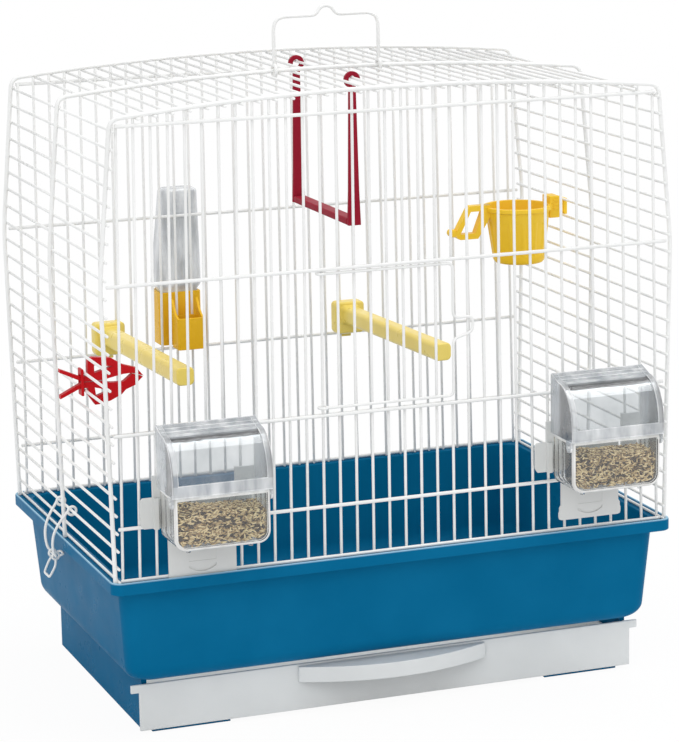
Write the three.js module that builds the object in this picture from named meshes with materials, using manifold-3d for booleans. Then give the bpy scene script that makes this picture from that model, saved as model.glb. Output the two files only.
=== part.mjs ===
// A small wire bird cage on a deep plastic tray with a pull-out drawer, and its fittings.
// Millimetres, +Z up, the front faces -Y, the origin is on the floor under the middle of the cage.

import * as THREE from 'three';
import { mergeVertices } from 'three/addons/utils/BufferGeometryUtils.js';
import Module from 'manifold-3d';

const wasm = await Module();
wasm.setup();

// General fits
const seat = 0.3; // gap left between pieces that rest on each other
const weld = 0.4; // how deep crossing wires are pressed together
const overrun = 1; // how far a cutter runs past a face
const mergeDistance = 0.0001;

// Tray and plinth
const rimWidth = 390;
const rimDepth = 252;
const rimTop = 108.7;
const rimSkirt = 8.3;
const rimCorner = 7;
const rimLip = 1; // the raised edge round the ledge that the wire body stands on
const rimLedge = 1.5; // how far that ledge lies below the raised edge
const rimSkin = 2;
const trayWall = 2.2;
const bodyTopWidth = 375;
const bodyTopDepth = 237;
const bodyLowWidth = 366;
const bodyLowDepth = 228;
const bodyCorner = 11;
const bodyFloor = 36; // underside of the tray's body
const bodyBottomRound = 12;
const floorLedge = 9; // what is left of the tray's floor round the opening over the drawer
const plinthInset = 0.8;
const plinthSheet = 2;
const plinthFlange = 1.4;
const plinthFlangeHeight = 3;
const footTabOuter = 165;
const footTabInner = 112;
const footTabLength = 5;

// Drawer
const drawerFrontWidth = 348;
const drawerFrontThickness = 2;
const drawerFrontGap = 1.4; // from the plinth's front edge to the drawer front
const drawerFrontTop = 33.6;
const drawerSide = 1.6; // running gap at each side and at the back
const drawerPanHeight = 23;
const drawerWall = 1.8;
const drawerEarReach = 5.5;
const drawerEarHeight = 5.5;
const lipWidth = 132;
const lipBulge = 18;
const lipHeight = 10.5;
const lipDrop = 1.2; // from the top of the drawer front to the top of the lip
const lipSkin = 1.8;
const lipEndStep = 2.6; // how far the lip stands out at its ends

// Wire body
const hoopWire = 3;
const crossWire = 2.5;
const fineWire = 2;
const hoopSpacing = 120; // between the middle hoop and each outer one
const hoopFootHalf = 191.6;
const hoopWaistHalf = 195;
const hoopShoulderHalf = 185.6;
const waistHeight = 297;
const shoulderHeight = 400.4;
const archRise = 9.6; // of the roof's middle above its shoulders
const shoulderRound = 7;
const lowCrossHeight = 142.5;
const sillHeight = 202.4; // cross wire under the door
const topCrossDrop = 4.4; // from the shoulders to the top cross wire
const wireCount = 34;
const topSpread = 363; // between the outermost upright wires at the top cross wire
const footSpread = 373;
const sideFirstRise = 8.5; // from the rim to the first side wire
const sidePitch = 11.5;
const roofPitch = 11.2;
const roofHalfCount = 15;
const nubLength = 2.2; // how far the long wires stick out past the outer hoops
const crossForward = 1; // from the outer hoops' middle to the cross wires' middle

// Door
const doorLaneCount = 4; // upright wires left out on each side of the middle
const doorTopGap = 2.8; // to the cross wire over it
const doorFootGap = 4.8; // to the cross wire under it
const doorWire = 2;
const doorForward = 0.55; // how far the latch side stands in front of the rails
const doorEyeClearance = 0.5;
const latchDrop = 35.7; // from the door's top rail
const latchHeight = 12;
const latchSlant = 4; // of the latch's lower arm
const latchReach = 2.6; // past the wire that it springs round
const doorCornerRound = 4;

// Carry handle
const handleHalf = 37;
const handleRise = 35; // above the roof's middle
const handlePeakRise = 6;
const handlePeakHalf = 7;
const handleWire = 2.6;
const handleCorner = 9;
const handleEyeClearance = 0.4;

// Clasps at the middle hoop
const claspWire = 2;
const claspEyeHalf = 14;
const claspEyeClearance = 0.4;
const claspBulge = 7.8; // how far the link stands out past the rim
const claspBarHalf = 7.2;
const claspBarDrop = 12.4; // below the rim's top
const claspBarOut = 4.6;
const leverWire = 1.8;
const leverEyeHalf = 4.4;
const leverHalf = 8;
const leverFootHalf = 6.8;
const leverDrop = 13.4;
const leverLean = 5.3;
const leverNoseIn = 5.7;
const leverNoseRise = 0.8;

// Feeder stations, one on each side of the door
const stationLaneCount = 12; // wire pitches from the middle of the front
const stationWireCount = 4; // upright wires left out behind each feeder
const stationStep = 8.1; // the right station hangs this much higher
const binOffset = 3.5; // the bin hangs a little to the right of its window
const frameHalf = 36;
const frameSkin = 1.6;
const frameBar = 8;
const frameHeight = 34;
const frameGuide = 1.5;
const frameClipLength = 14;
const frameClipDepth = 6;
const earReach = 8;
const earHeight = 20;
const channelWall = 1.2;
const channelLip = 3;
const channelHeight = 20;
const shutterHalf = 22.5;
const shutterHeight = 53;
const shutterSkin = 1.4;
const gripHalf = 9;
const gripWidth = 1.6;
const gripDepth = 0.6;
const gripHeight = 6;
const binHalf = 31.5;
const binDepth = 31.5;
const binHeight = 34.5;
const binDrop = 8.4; // from the underside of the frame to the underside of the bin
const binSkin = 1.6;
const binRound = 8;
const binBackHeight = 26;
const binFlange = 2.6;
const pegHalfSpread = 20.5;
const pegSize = 2.2;
const pegLength = 3;
const pivotRadius = 1.5;
const pivotInset = 3.5; // from the bin's front face and from its top edge
const hoodSkin = 1.3;
const hoodHeight = 40.5;
const hoodOverhang = 0.9; // from the bin's front face to the inside of the hood
const hoodShoulderDepth = 12;
const hoodShoulderDrop = 4;
const hoodBandHeight = 8;
const hoodEarRadius = 3.6;
const seedDepth = 26;

// Drinker on the back
const drinkerLaneCount = -6; // wire pitches from the middle of the back
const drinkerWidth = 31;
const drinkerShift = -1; // of the base to the left of its lane
const drinkerDepth = 22.5;
const drinkerBaseHeight = 38;
const drinkerSkin = 1.8;
const drinkerRound = 4;
const drinkerNeck = 8.2;
const drinkerNeckHeight = 17;
const troughWidth = 20;
const troughDepth = 15.5;
const troughHeight = 22.5;
const troughWing = 12; // how much higher the trough's sides are at the wires
const bottleWidth = 33;
const bottleDepth = 23;
const bottleShoulderRise = 5; // above the base
const bottleTopWidth = 26;
const bottleTopDepth = 18;
const bottleLean = 2; // of its top to the right
const bottleRise = 73.5; // above the base
const bottleSkin = 1.2;
const bottleRound = 5;
const bottleNeckLength = 13;
const bottleCrown = 2.4;

// Perches, held by the back panel
const perchLaneCounts = [-11, 5]; // wire pitches from the middle of the back
const perchBlock = 22;
const perchBlockDepth = 11;
const perchBlockHeight = 23;
const perchBlockRound = 3;
const perchShift = -2.2; // of the block and stick to the left of their lane
const perchHalf = 6;
const perchRound = 3.2;
const perchTipRound = 1.5;
const perchLength = 175;
const perchRootHeight = 13.4; // from the block's underside to the stick's middle
const perchRise = 6.5;
const perchHookWidth = 8;
const perchHookThickness = 2.4;
const perchHookDrop = 5;

// Swing, hung from the middle roof wire
const swingFront = -47;
const swingBack = 61;
const swingDrop = 97.4; // from the roof wire to the bar's underside
const strapThickness = 3;
const strapTopHalf = 2.3;
const strapFootHalf = 4.5;
const hookInner = 2.6;
const hookBand = 2.9;
const hookSweepShare = 0.78; // of a full turn
const barHeight = 4.6;
const mortiseDepth = 2; // blind, in each strap's inner face
const tenonWidth = 5;
const tenonHeight = 2;

// Treat cup on the right wall
const cupX = 160.8;
const cupY = 52;
const cupTop = 298;
const cupHeight = 40.6;
const cupRadius = 23.3;
const cupFootRadius = 18.7;
const cupFootShift = 1.3; // the foot stands a little nearer the wall
const cupSkin = 1.7;
const cupRim = 1.2;
const cupRimHeight = 3;
const cupFootRound = 5;
const cupClipWidth = 13;
const cupClipHeight = 15.6;
const cupClipAbove = 5.3; // how far the clip stands above the cup's rim
const cupClipPlate = 2.6;
const cupClipPlateHeight = 11.6;
const loopBand = 4;
const loopWidth = 6.5;
const loopReach = 25.5;
const loopDrop = 19.5;
const loopSlant = 11;
const loopNubRadius = 2.8;

// Greens clip on the left wall: two halves that pivot in a plate
const clipY = -63.4;
const clipWireCount = 9; // side wires below it, above the first
const clipBand = 4;
const clipPlateHeight = 17.4;
const clipPlateThickness = 1.8;
const clipPlateWidth = 8.2;
const clipProngReach = 14.3;
const clipProngSpread = 8.6;
const clipProngThickness = 2.3;
const clipNeckHalf = 4;
const clipPlay = 0.5;
const clipInside = 0.8; // from the side wires to the jaws
const clipJawLength = 36.9;
const clipJawHalf = 15.5;

// Colours
const paintedWire = new THREE.MeshStandardMaterial({ color: 0xf0f0ee, roughness: 0.35, metalness: 0.1 });
const bluePlastic = new THREE.MeshStandardMaterial({ color: 0x0d6aa0, roughness: 0.3, metalness: 0 });
const greyPlastic = new THREE.MeshStandardMaterial({ color: 0xcdd0cf, roughness: 0.4, metalness: 0 });
const whitePlastic = new THREE.MeshStandardMaterial({ color: 0xe6e6e4, roughness: 0.4, metalness: 0 });
const clearPlastic = new THREE.MeshStandardMaterial({ color: 0xdfe6e8, roughness: 0.1, metalness: 0 });
const yellowPlastic = new THREE.MeshStandardMaterial({ color: 0xdfae20, roughness: 0.35, metalness: 0 });
const darkRedPlastic = new THREE.MeshStandardMaterial({ color: 0x9c2f35, roughness: 0.4, metalness: 0 });
const redPlastic = new THREE.MeshStandardMaterial({ color: 0xc4151f, roughness: 0.35, metalness: 0 });
const seedGrain = new THREE.MeshStandardMaterial({ color: 0xa88f63, roughness: 0.9, metalness: 0 });

const cage = new THREE.Group();

// A closed geometry as a solid, its faces turned outwards whichever way it was drawn
function solid(geometry) {
  const bare = geometry.clone();
  bare.deleteAttribute('normal');
  bare.deleteAttribute('uv');
  const merged = mergeVertices(bare, mergeDistance);
  const points = new Float32Array(merged.attributes.position.array);
  const corners = new Uint32Array(merged.index.array);
  const a = new THREE.Vector3();
  const b = new THREE.Vector3();
  const c = new THREE.Vector3();
  let volume = 0;
  for (let i = 0; i < corners.length; i += 3) {
    a.fromArray(points, 3 * corners[i]);
    b.fromArray(points, 3 * corners[i + 1]);
    c.fromArray(points, 3 * corners[i + 2]);
    volume += a.dot(b.cross(c));
  }
  if (volume < 0) corners.reverse();
  return new wasm.Manifold(new wasm.Mesh({ numProp: 3, vertProperties: points, triVerts: corners }));
}

function joined(shapes) {
  return wasm.Manifold.union(shapes);
}

// Adds a solid to the cage as a named mesh
function piece(name, shape, material) {
  const { vertProperties, triVerts } = shape.getMesh();
  const geometry = new THREE.BufferGeometry();
  geometry.setAttribute('position', new THREE.BufferAttribute(vertProperties, 3));
  geometry.setIndex(new THREE.BufferAttribute(triVerts, 1));
  geometry.computeVertexNormals();
  const mesh = new THREE.Mesh(geometry, material);
  mesh.name = name;
  cage.add(mesh);
}

function block(x0, x1, y0, y1, z0, z1) {
  const geometry = new THREE.BoxGeometry(Math.abs(x1 - x0), Math.abs(y1 - y0), Math.abs(z1 - z0));
  return solid(geometry.translate((x0 + x1) / 2, (y0 + y1) / 2, (z0 + z1) / 2));
}

// Rings of points, each as many, joined by side faces and closed at both ends; the rings are convex
function loft(rings) {
  const count = rings[0].length;
  const corners = [];
  for (let r = 0; r + 1 < rings.length; r += 1) {
    for (let i = 0; i < count; i += 1) {
      const next = (i + 1) % count;
      const low = r * count;
      const high = low + count;
      corners.push(low + i, low + next, high + next, low + i, high + next, high + i);
    }
  }
  const top = (rings.length - 1) * count;
  for (let i = 1; i + 1 < count; i += 1) {
    corners.push(0, i + 1, i);
    corners.push(top, top + i, top + i + 1);
  }
  const geometry = new THREE.BufferGeometry().setFromPoints(rings.flat());
  geometry.setIndex(corners);
  return solid(geometry);
}

// A level rounded rectangle
function roundedRing(halfX, halfY, radius, z, x = 0, y = 0, steps = 2) {
  const ring = [];
  for (const [sx, sy, start] of [[1, 1, 0], [-1, 1, 1], [-1, -1, 2], [1, -1, 3]]) {
    for (let i = 0; i <= steps; i += 1) {
      const angle = (start + i / steps) * Math.PI / 2;
      const cx = x + sx * (halfX - radius) + radius * Math.cos(angle);
      const cy = y + sy * (halfY - radius) + radius * Math.sin(angle);
      ring.push(new THREE.Vector3(cx, cy, z));
    }
  }
  return ring;
}

function roundedBlock(halfX, halfY, radius, z0, z1, x = 0, y = 0) {
  return loft([roundedRing(halfX, halfY, radius, z0, x, y), roundedRing(halfX, halfY, radius, z1, x, y)]);
}

// A level circle of points
function circle(radius, z, x, y, sides) {
  const ring = [];
  for (let i = 0; i < sides; i += 1) {
    const angle = (i + 0.5) / sides * 2 * Math.PI;
    ring.push(new THREE.Vector3(x + radius * Math.cos(angle), y + radius * Math.sin(angle), z));
  }
  return ring;
}

// An outline drawn in the plane across an axis, carried along that axis
const planes = {
  x: [new THREE.Vector3(0, 1, 0), new THREE.Vector3(0, 0, 1), new THREE.Vector3(1, 0, 0)],
  y: [new THREE.Vector3(1, 0, 0), new THREE.Vector3(0, 0, 1), new THREE.Vector3(0, 1, 0)],
  z: [new THREE.Vector3(1, 0, 0), new THREE.Vector3(0, 1, 0), new THREE.Vector3(0, 0, 1)],
};
function prism(axis, outline, from, to, holes = []) {
  const shape = new THREE.Shape(outline.map(([u, v]) => new THREE.Vector2(u, v)));
  shape.holes = holes.map((hole) => new THREE.Path(hole.map(([u, v]) => new THREE.Vector2(u, v))));
  const geometry = new THREE.ExtrudeGeometry(shape, { depth: to - from, bevelEnabled: false, steps: 1 });
  const [across, up, along] = planes[axis];
  geometry.translate(0, 0, from);
  geometry.applyMatrix4(new THREE.Matrix4().makeBasis(across, up, along));
  return solid(geometry);
}

// A round rod along X, given by its middle in Y and Z
function rodAlongX(radius, y, z, x0, x1, sides = 6) {
  const outline = circle(radius, 0, y, z, sides).map((p) => [p.x, p.y]);
  return prism('x', outline, x0, x1);
}

// Replaces each inner corner of a line of points by a short arc
function rounded(points, radius, steps = 2) {
  const out = [points[0]];
  for (let i = 1; i + 1 < points.length; i += 1) {
    const corner = points[i];
    const back = points[i - 1].clone().sub(corner);
    const on = points[i + 1].clone().sub(corner);
    const reach = Math.min(radius, back.length() / 2, on.length() / 2);
    const start = corner.clone().addScaledVector(back.normalize(), reach);
    const end = corner.clone().addScaledVector(on.normalize(), reach);
    const bend = new THREE.QuadraticBezierCurve3(start, corner, end);
    out.push(...bend.getPoints(steps));
  }
  out.push(points[points.length - 1]);
  return out;
}

// A centre line that is sampled only at its own points
class KnotLine extends THREE.Curve {
  constructor(knots) {
    super();
    this.knots = knots;
  }

  getPoint(share) {
    return this.knots[Math.round(share * (this.knots.length - 1))].clone();
  }

  getPointAt(share) {
    return this.getPoint(share);
  }

  getTangentAt(share) {
    const last = this.knots.length - 1;
    const here = Math.round(share * last);
    const tangent = new THREE.Vector3();
    if (here > 0) tangent.add(this.knots[here].clone().sub(this.knots[here - 1]).normalize());
    if (here < last) tangent.add(this.knots[here + 1].clone().sub(this.knots[here]).normalize());
    return tangent.normalize();
  }
}

// A bent wire along a line of points
function wire(knots, diameter, sides = 4) {
  const section = new THREE.Shape(circle(diameter / 2, 0, 0, 0, sides).map((p) => new THREE.Vector2(p.x, p.y)));
  const line = new KnotLine(knots);
  const along = { steps: knots.length - 1, extrudePath: line, bevelEnabled: false };
  return solid(new THREE.ExtrudeGeometry(section, along));
}

// A wire of four sides set on edge, which crosses others along single edges; its bends lie across one axis
function rod(knots, axis, diameter) {
  const line = new KnotLine(knots);
  const rings = knots.map((knot, i) => {
    const along = line.getTangentAt(i / (knots.length - 1));
    const out = along.cross(axis).normalize();
    return [axis, out, axis, out].map((edge, side) => knot.clone().addScaledVector(edge, (side < 2 ? 1 : -1) * diameter / 2));
  });
  return loft(rings);
}

// A ring of wire round an axis
function eye(axis, x, y, z, hole, diameter) {
  const ring = new THREE.TorusGeometry(hole + diameter / 2, diameter / 2, 4, 8);
  if (axis === 'x') ring.rotateY(Math.PI / 2);
  if (axis === 'y') ring.rotateX(Math.PI / 2);
  return solid(ring.translate(x, y, z));
}

// Heights that follow from the sizes above
const archHeight = shoulderHeight + archRise;
const crossHeights = [lowCrossHeight, sillHeight, waistHeight, shoulderHeight - topCrossDrop];
const sideFirst = rimTop + sideFirstRise;
const sideCount = Math.floor((shoulderHeight - shoulderRound - sideFirst) / sidePitch) + 1;
const roofJoin = sideFirst + (sideCount - 3 / 2) * sidePitch; // where the side panels meet the roof panel
const doorTop = waistHeight - doorTopGap;
const doorBottom = sillHeight + doorFootGap;
const latchTop = doorTop - latchDrop;
const latchBottom = latchTop - latchHeight;
const handleTop = archHeight + handleRise;
const handlePeak = handleTop + handlePeakRise;
const claspBarHeight = rimTop - claspBarDrop;
const stationHeight = lowCrossHeight - seat;

// The hoops' centre line: how far out and how high
function hoopHalfAt(z) {
  const low = rimTop - rimLedge;
  const share = z < waistHeight ? (z - low) / (waistHeight - low) : (z - waistHeight) / (shoulderHeight - waistHeight);
  const ends = z < waistHeight ? [hoopFootHalf, hoopWaistHalf] : [hoopWaistHalf, hoopShoulderHalf];
  return ends[0] + share * (ends[1] - ends[0]);
}
function archAt(x) {
  return archHeight - (archHeight - shoulderHeight) * (x / hoopShoulderHalf) ** 2;
}

const longInset = hoopWire / 2 + fineWire / 2 - weld; // from a hoop's middle in to the long wires

// Upright wires fan out a little from the top cross wire to the foot
const crossTop = crossHeights[crossHeights.length - 1];
const hoopFoot = rimTop - rimLedge + seat;
const footHeight = hoopFoot + crossWire / 2;
function pitchAt(z) {
  const spread = topSpread + (footSpread - topSpread) * (crossTop - z) / (crossTop - footHeight);
  return spread / (wireCount - 1);
}
const crossPlane = hoopSpacing + crossForward;
const uprightPlane = crossPlane - crossWire / 2 - fineWire / 2 + weld;
const wireLanes = Array.from({ length: wireCount }, (_, i) => i - (wireCount - 1) / 2);

// One upright wire of a front or back panel between two heights
function upright(lane, y, z0, z1) {
  const ends = [z0, z1].map((z) => new THREE.Vector3(lane * pitchAt(z), y, z));
  return rod(ends, planes.y[2], fineWire);
}
function crossWireAt(y, z) {
  const half = hoopHalfAt(z) - longInset - fineWire / 2 - seat;
  return rod([new THREE.Vector3(-half, y, z), new THREE.Vector3(half, y, z)], planes.y[2], crossWire);
}
// Where an upright wire ends: just under the roof hoop, or at the top cross wire in the hoop's bends
function underRoof(lane) {
  const x = Math.abs(lane) * pitchAt(crossTop) + fineWire / 2;
  return x > hoopShoulderHalf - shoulderRound ? crossTop + crossWire / 2 : archAt(x) - hoopWire / 2 - seat;
}

// Lanes left out behind a feeder, counted from the middle
function behindFeeder(lane) {
  return Math.abs(Math.abs(lane) - stationLaneCount) < stationWireCount / 2;
}
function inDoorway(lane) {
  return Math.abs(lane) < doorLaneCount;
}

// Front and back panels
function panel(y, hasOpenings) {
  const [low, sill, lintel, top] = crossHeights;
  const rows = [footHeight, low, sill, lintel, top].map((z) => crossWireAt(Math.sign(y) * crossPlane, z));
  const wires = [];
  const past = crossWire / 2;
  for (const lane of wireLanes) {
    const plane = Math.sign(y) * uprightPlane;
    const gap = [hoopFoot, hoopFoot];
    if (hasOpenings && inDoorway(lane)) gap.splice(0, 2, sill + past, lintel - past);
    if (hasOpenings && behindFeeder(lane)) gap.splice(0, 2, low + past, sill - past);
    if (gap[0] > hoopFoot) wires.push(upright(lane, plane, hoopFoot, gap[0]));
    wires.push(upright(lane, plane, gap[1], underRoof(lane)));
  }
  return joined([...rows, ...wires]);
}

// Long wires that run from front to back inside the hoops
const longHalf = hoopSpacing + hoopWire / 2 + nubLength;
function longWire(x, z) {
  return rod([new THREE.Vector3(x, -longHalf, z), new THREE.Vector3(x, longHalf, z)], planes.x[2], fineWire);
}
const hoopPlaces = [-hoopSpacing, 0, hoopSpacing];

function sideWireHeights() {
  const heights = [hoopFoot + fineWire / 2];
  for (let i = 0; i + 1 < sideCount; i += 1) heights.push(sideFirst + i * sidePitch);
  return heights;
}
function sidePanel(side) {
  const leg = [hoopFoot, waistHeight, roofJoin - seat];
  const hoops = hoopPlaces.map((y) => {
    const line = leg.map((z) => new THREE.Vector3(side * hoopHalfAt(z), y, z));
    return rod(line, planes.y[2], hoopWire);
  });
  const wires = sideWireHeights().map((z) => longWire(side * (hoopHalfAt(z) - longInset), z));
  return joined([...hoops, ...wires]);
}

function roofPanel() {
  const corner = [
    new THREE.Vector3(-hoopHalfAt(roofJoin), roofJoin, 0),
    new THREE.Vector3(-hoopShoulderHalf, shoulderHeight, 0),
    new THREE.Vector3(-hoopShoulderHalf + 2 * shoulderRound, archAt(-hoopShoulderHalf + 2 * shoulderRound), 0),
  ];
  const bend = rounded(corner, shoulderRound).map((p) => [p.x, p.y]);
  const arch = [-0.67, -0.33, 0, 0.33, 0.67].map((share) => [share * hoopShoulderHalf, archAt(share * hoopShoulderHalf)]);
  const line = [...bend, ...arch, ...bend.map(([x, z]) => [-x, z]).reverse()];
  const hoops = hoopPlaces.map((y) => rod(line.map(([x, z]) => new THREE.Vector3(x, y, z)), planes.y[2], hoopWire));
  const wires = [];
  for (let i = -roofHalfCount; i <= roofHalfCount; i += 1) {
    wires.push(longWire(i * roofPitch, archAt(i * roofPitch) - longInset));
  }
  const cornerWire = sideFirst + (sideCount - 1) * sidePitch;
  for (const side of [-1, 1]) wires.push(longWire(side * (hoopHalfAt(cornerWire) - longInset), cornerWire));
  return joined([...hoops, ...wires]);
}

// Tray: a moulded body with a rolled rim, on a plinth that the drawer runs in
const plinthHalfX = bodyLowWidth / 2 - bodyBottomRound;
const plinthHalfY = bodyLowDepth / 2 - bodyBottomRound;
const sheetTop = plinthSheet;

function bodyRings(inset) {
  const rings = [];
  const round = bodyBottomRound;
  const steps = 2;
  for (let i = 0; i <= steps; i += 1) {
    const angle = (i / steps) * Math.PI / 2;
    const out = round * Math.sin(angle) - round - inset;
    const z = bodyFloor + inset + round * (1 - Math.cos(angle));
    rings.push(roundedRing(bodyLowWidth / 2 + out, bodyLowDepth / 2 + out, bodyCorner, z));
  }
  return rings;
}

function tray() {
  const top = rimTop - rimLedge;
  const outer = bodyRings(0);
  outer.push(roundedRing(bodyTopWidth / 2, bodyTopDepth / 2, bodyCorner, top));
  const inner = bodyRings(trayWall);
  inner.push(roundedRing(bodyTopWidth / 2 - trayWall, bodyTopDepth / 2 - trayWall, bodyCorner, top + overrun));

  const rimHalfX = rimWidth / 2;
  const rimHalfY = rimDepth / 2;
  const rim = roundedBlock(rimHalfX, rimHalfY, rimCorner, rimTop - rimSkirt, rimTop);
  const under = top - rimSkin;
  const hollow = roundedBlock(rimHalfX - rimLip, rimHalfY - rimLip, rimCorner - rimLip, rimTop - rimSkirt - overrun, under);
  const ledge = roundedBlock(rimHalfX - rimLip, rimHalfY - rimLip, rimCorner - rimLip, top, rimTop + overrun);

  const plinthTop = bodyFloor + trayWall / 2;
  const px = plinthHalfX - plinthInset;
  const py = plinthHalfY - plinthInset;
  const plinth = block(-px, px, -py, py, 0, plinthTop);
  const fx = px + plinthFlange;
  const fy = py + plinthFlange;
  const flange = block(-fx, fx, -py, fy, bodyFloor - plinthFlangeHeight, plinthTop);
  const bay = block(-px + trayWall, px - trayWall, -py - overrun, py - trayWall, sheetTop, bodyFloor);
  const well = block(
    -px + trayWall + floorLedge, px - trayWall - floorLedge,
    -py + floorLedge, py - trayWall - floorLedge, bodyFloor - overrun, bodyFloor + trayWall + overrun,
  );
  const notches = [[-footTabInner, footTabInner], [footTabOuter, px + overrun], [-px - overrun, -footTabOuter]];
  const cuts = notches.map(([x0, x1]) => block(x0, x1, -py - overrun, -py + footTabLength, -overrun, sheetTop));
  return joined([rim.subtract(joined([hollow])), loft(outer), plinth, flange])
    .subtract(joined([ledge, loft(inner), bay, well, ...cuts]));
}

function drawer() {
  const px = plinthHalfX - plinthInset - trayWall - drawerSide;
  const back = plinthHalfY - plinthInset - trayWall - drawerSide;
  const faceBack = -plinthHalfY + plinthInset - drawerFrontGap;
  const faceFront = faceBack - drawerFrontThickness;
  const bottom = sheetTop + seat;
  const half = drawerFrontWidth / 2;
  const pan = block(-px, px, faceFront, back, bottom, bottom + drawerPanHeight);
  const inside = block(
    -px + drawerWall, px - drawerWall, faceBack, back - drawerWall,
    bottom + drawerWall, bottom + drawerPanHeight + overrun,
  );
  const face = block(-half, half, faceFront, faceBack, bottom, drawerFrontTop);
  const ears = block(
    -half - drawerEarReach, half + drawerEarReach, faceFront, faceBack,
    drawerFrontTop - drawerEarHeight, drawerFrontTop,
  );
  const lipTop = drawerFrontTop - lipDrop;
  const crescent = (inset) => {
    const steps = 12;
    const outline = [];
    for (let i = 0; i <= steps; i += 1) {
      const share = 2 * i / steps - 1;
      const x = share * (lipWidth / 2 - inset);
      const out = lipEndStep + (lipBulge - lipEndStep) * (1 - share ** 2);
      outline.push([x, faceFront - out + inset]);
    }
    const root = faceFront + weld;
    return [[-lipWidth / 2 + inset, root], ...outline, [lipWidth / 2 - inset, root]];
  };
  const lip = prism('z', crescent(0), lipTop - lipHeight, lipTop);
  const palm = prism('z', crescent(lipSkin), lipTop - lipHeight - overrun, lipTop - lipSkin);
  return joined([pan.subtract(inside), face, ears, lip.subtract(palm)]);
}

// The door: rails and a latch side in front, upright wires behind them
const doorLane = doorLaneCount - 0.5;
const doorAxisX = -(doorLaneCount + 0.5) * pitchAt((doorTop + doorBottom) / 2);
const railPlane = uprightPlane + fineWire / 2 + doorWire / 2 - weld;
function door() {
  const y = -railPlane;
  const front = y - doorForward;
  const side = doorLane * pitchAt((doorTop + doorBottom) / 2);
  const hole = fineWire / 2 * Math.SQRT2 + doorEyeClearance;
  const hinges = [doorTop, doorBottom].map((z) => eye('z', doorAxisX, -uprightPlane, z, hole, doorWire));
  const ends = [doorAxisX + hole, side - doorCornerRound];
  const rail = (z) => rod(ends.map((x) => new THREE.Vector3(x, y, z)), planes.y[2], doorWire);
  const latchX = (doorLaneCount + 0.5) * pitchAt(latchTop) + latchReach;
  const edge = [
    [side - 2 * doorCornerRound, doorTop], [side, doorTop], [side, latchTop], [latchX, latchTop],
    [latchX, latchBottom + latchSlant / 2], [side, latchBottom - latchSlant / 2], [side, doorBottom], [side - 2 * doorCornerRound, doorBottom],
  ].map(([x, z]) => new THREE.Vector3(x, front, z));
  const bars = [];
  for (let lane = -doorLane; lane < doorLane; lane += 1) {
    bars.push(upright(lane, -uprightPlane, doorBottom - doorWire / 2, doorTop + doorWire / 2));
  }
  return joined([...hinges, rail(doorTop), rail(doorBottom), rod(rounded(edge, doorCornerRound, 1), planes.y[2], doorWire), ...bars]);
}

function carryHandle() {
  const axis = archAt(handleHalf);
  const hole = hoopWire / 2 * Math.SQRT2 + handleEyeClearance;
  const foot = axis + hole + handleWire / 2;
  const half = [
    [handleHalf, foot], [handleHalf, handleTop], [handlePeakHalf, handleTop], [handlePeakHalf / 2, handlePeak],
  ];
  const knots = [...half, ...half.map(([x, z]) => [-x, z]).reverse()].map(([x, z]) => new THREE.Vector3(x, 0, z));
  const eyes = [-handleHalf, handleHalf].map((x) => eye('x', x, 0, axis, hole, handleWire));
  return joined([rod(rounded(knots, handleCorner), planes.y[2], handleWire), ...eyes]);
}

// Clasps: a link that hangs on a low side wire, and a lever on the link that hooks under the rim
const claspPivotHeight = sideFirst + sidePitch;
const claspPivotX = hoopHalfAt(claspPivotHeight) - longInset;
const claspBarX = rimWidth / 2 + claspBarOut;
function claspLink(side) {
  const hole = fineWire / 2 * Math.SQRT2 + claspEyeClearance;
  const wide = rimWidth / 2 + claspBulge;
  const start = claspPivotX + hole + claspWire / 2;
  const fall = claspPivotHeight - claspBarHeight;
  // How far along the link's arm is out and down, in shares, from its eye to its bar
  const armShares = [[0, 0], [0.62, 0.26], [0.96, 0.5], [1, 0.72], [0.9, 0.9]];
  const half = armShares.map(([out, down]) => [
    start + out * (wide - start), claspEyeHalf + down * (claspBarHalf - claspEyeHalf), claspPivotHeight - down * fall,
  ]);
  half.push([claspBarX, claspBarHalf, claspBarHeight]);
  const knots = [...half, ...half.map(([x, y, z]) => [x, -y, z]).reverse()];
  const eyes = [-1, 1].map((s) => eye('y', side * claspPivotX, s * claspEyeHalf, claspPivotHeight, hole, claspWire));
  return joined([wire(knots.map(([x, y, z]) => new THREE.Vector3(side * x, y, z)), claspWire), ...eyes]);
}
function claspLever(side) {
  const hole = claspWire / 2 + claspEyeClearance;
  const reach = hole + leverWire / 2;
  const foot = claspBarHeight - leverDrop;
  const bail = [
    [claspBarX, leverEyeHalf, claspBarHeight - reach],
    [claspBarX + leverLean / 4, leverHalf, claspBarHeight - reach - leverDrop / 4],
    [claspBarX + leverLean, leverFootHalf, foot],
  ];
  const bailKnots = [...bail, ...bail.map(([x, y, z]) => [x, -y, z]).reverse()];
  const noseX = claspBarX - leverNoseIn;
  const noseZ = claspBarHeight + leverNoseRise;
  const nose = [
    [claspBarX - reach, leverEyeHalf, claspBarHeight], [noseX, leverEyeHalf, noseZ],
    [noseX, -leverEyeHalf, noseZ], [claspBarX - reach, -leverEyeHalf, claspBarHeight],
  ];
  const bent = (knots) => wire(knots.map(([x, y, z]) => new THREE.Vector3(side * x, y, z)), leverWire);
  const eyes = [-1, 1].map((s) => eye('y', side * claspBarX, s * leverEyeHalf, claspBarHeight, hole, leverWire));
  return joined([bent(bailKnots), bent(nose), ...eyes]);
}

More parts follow.
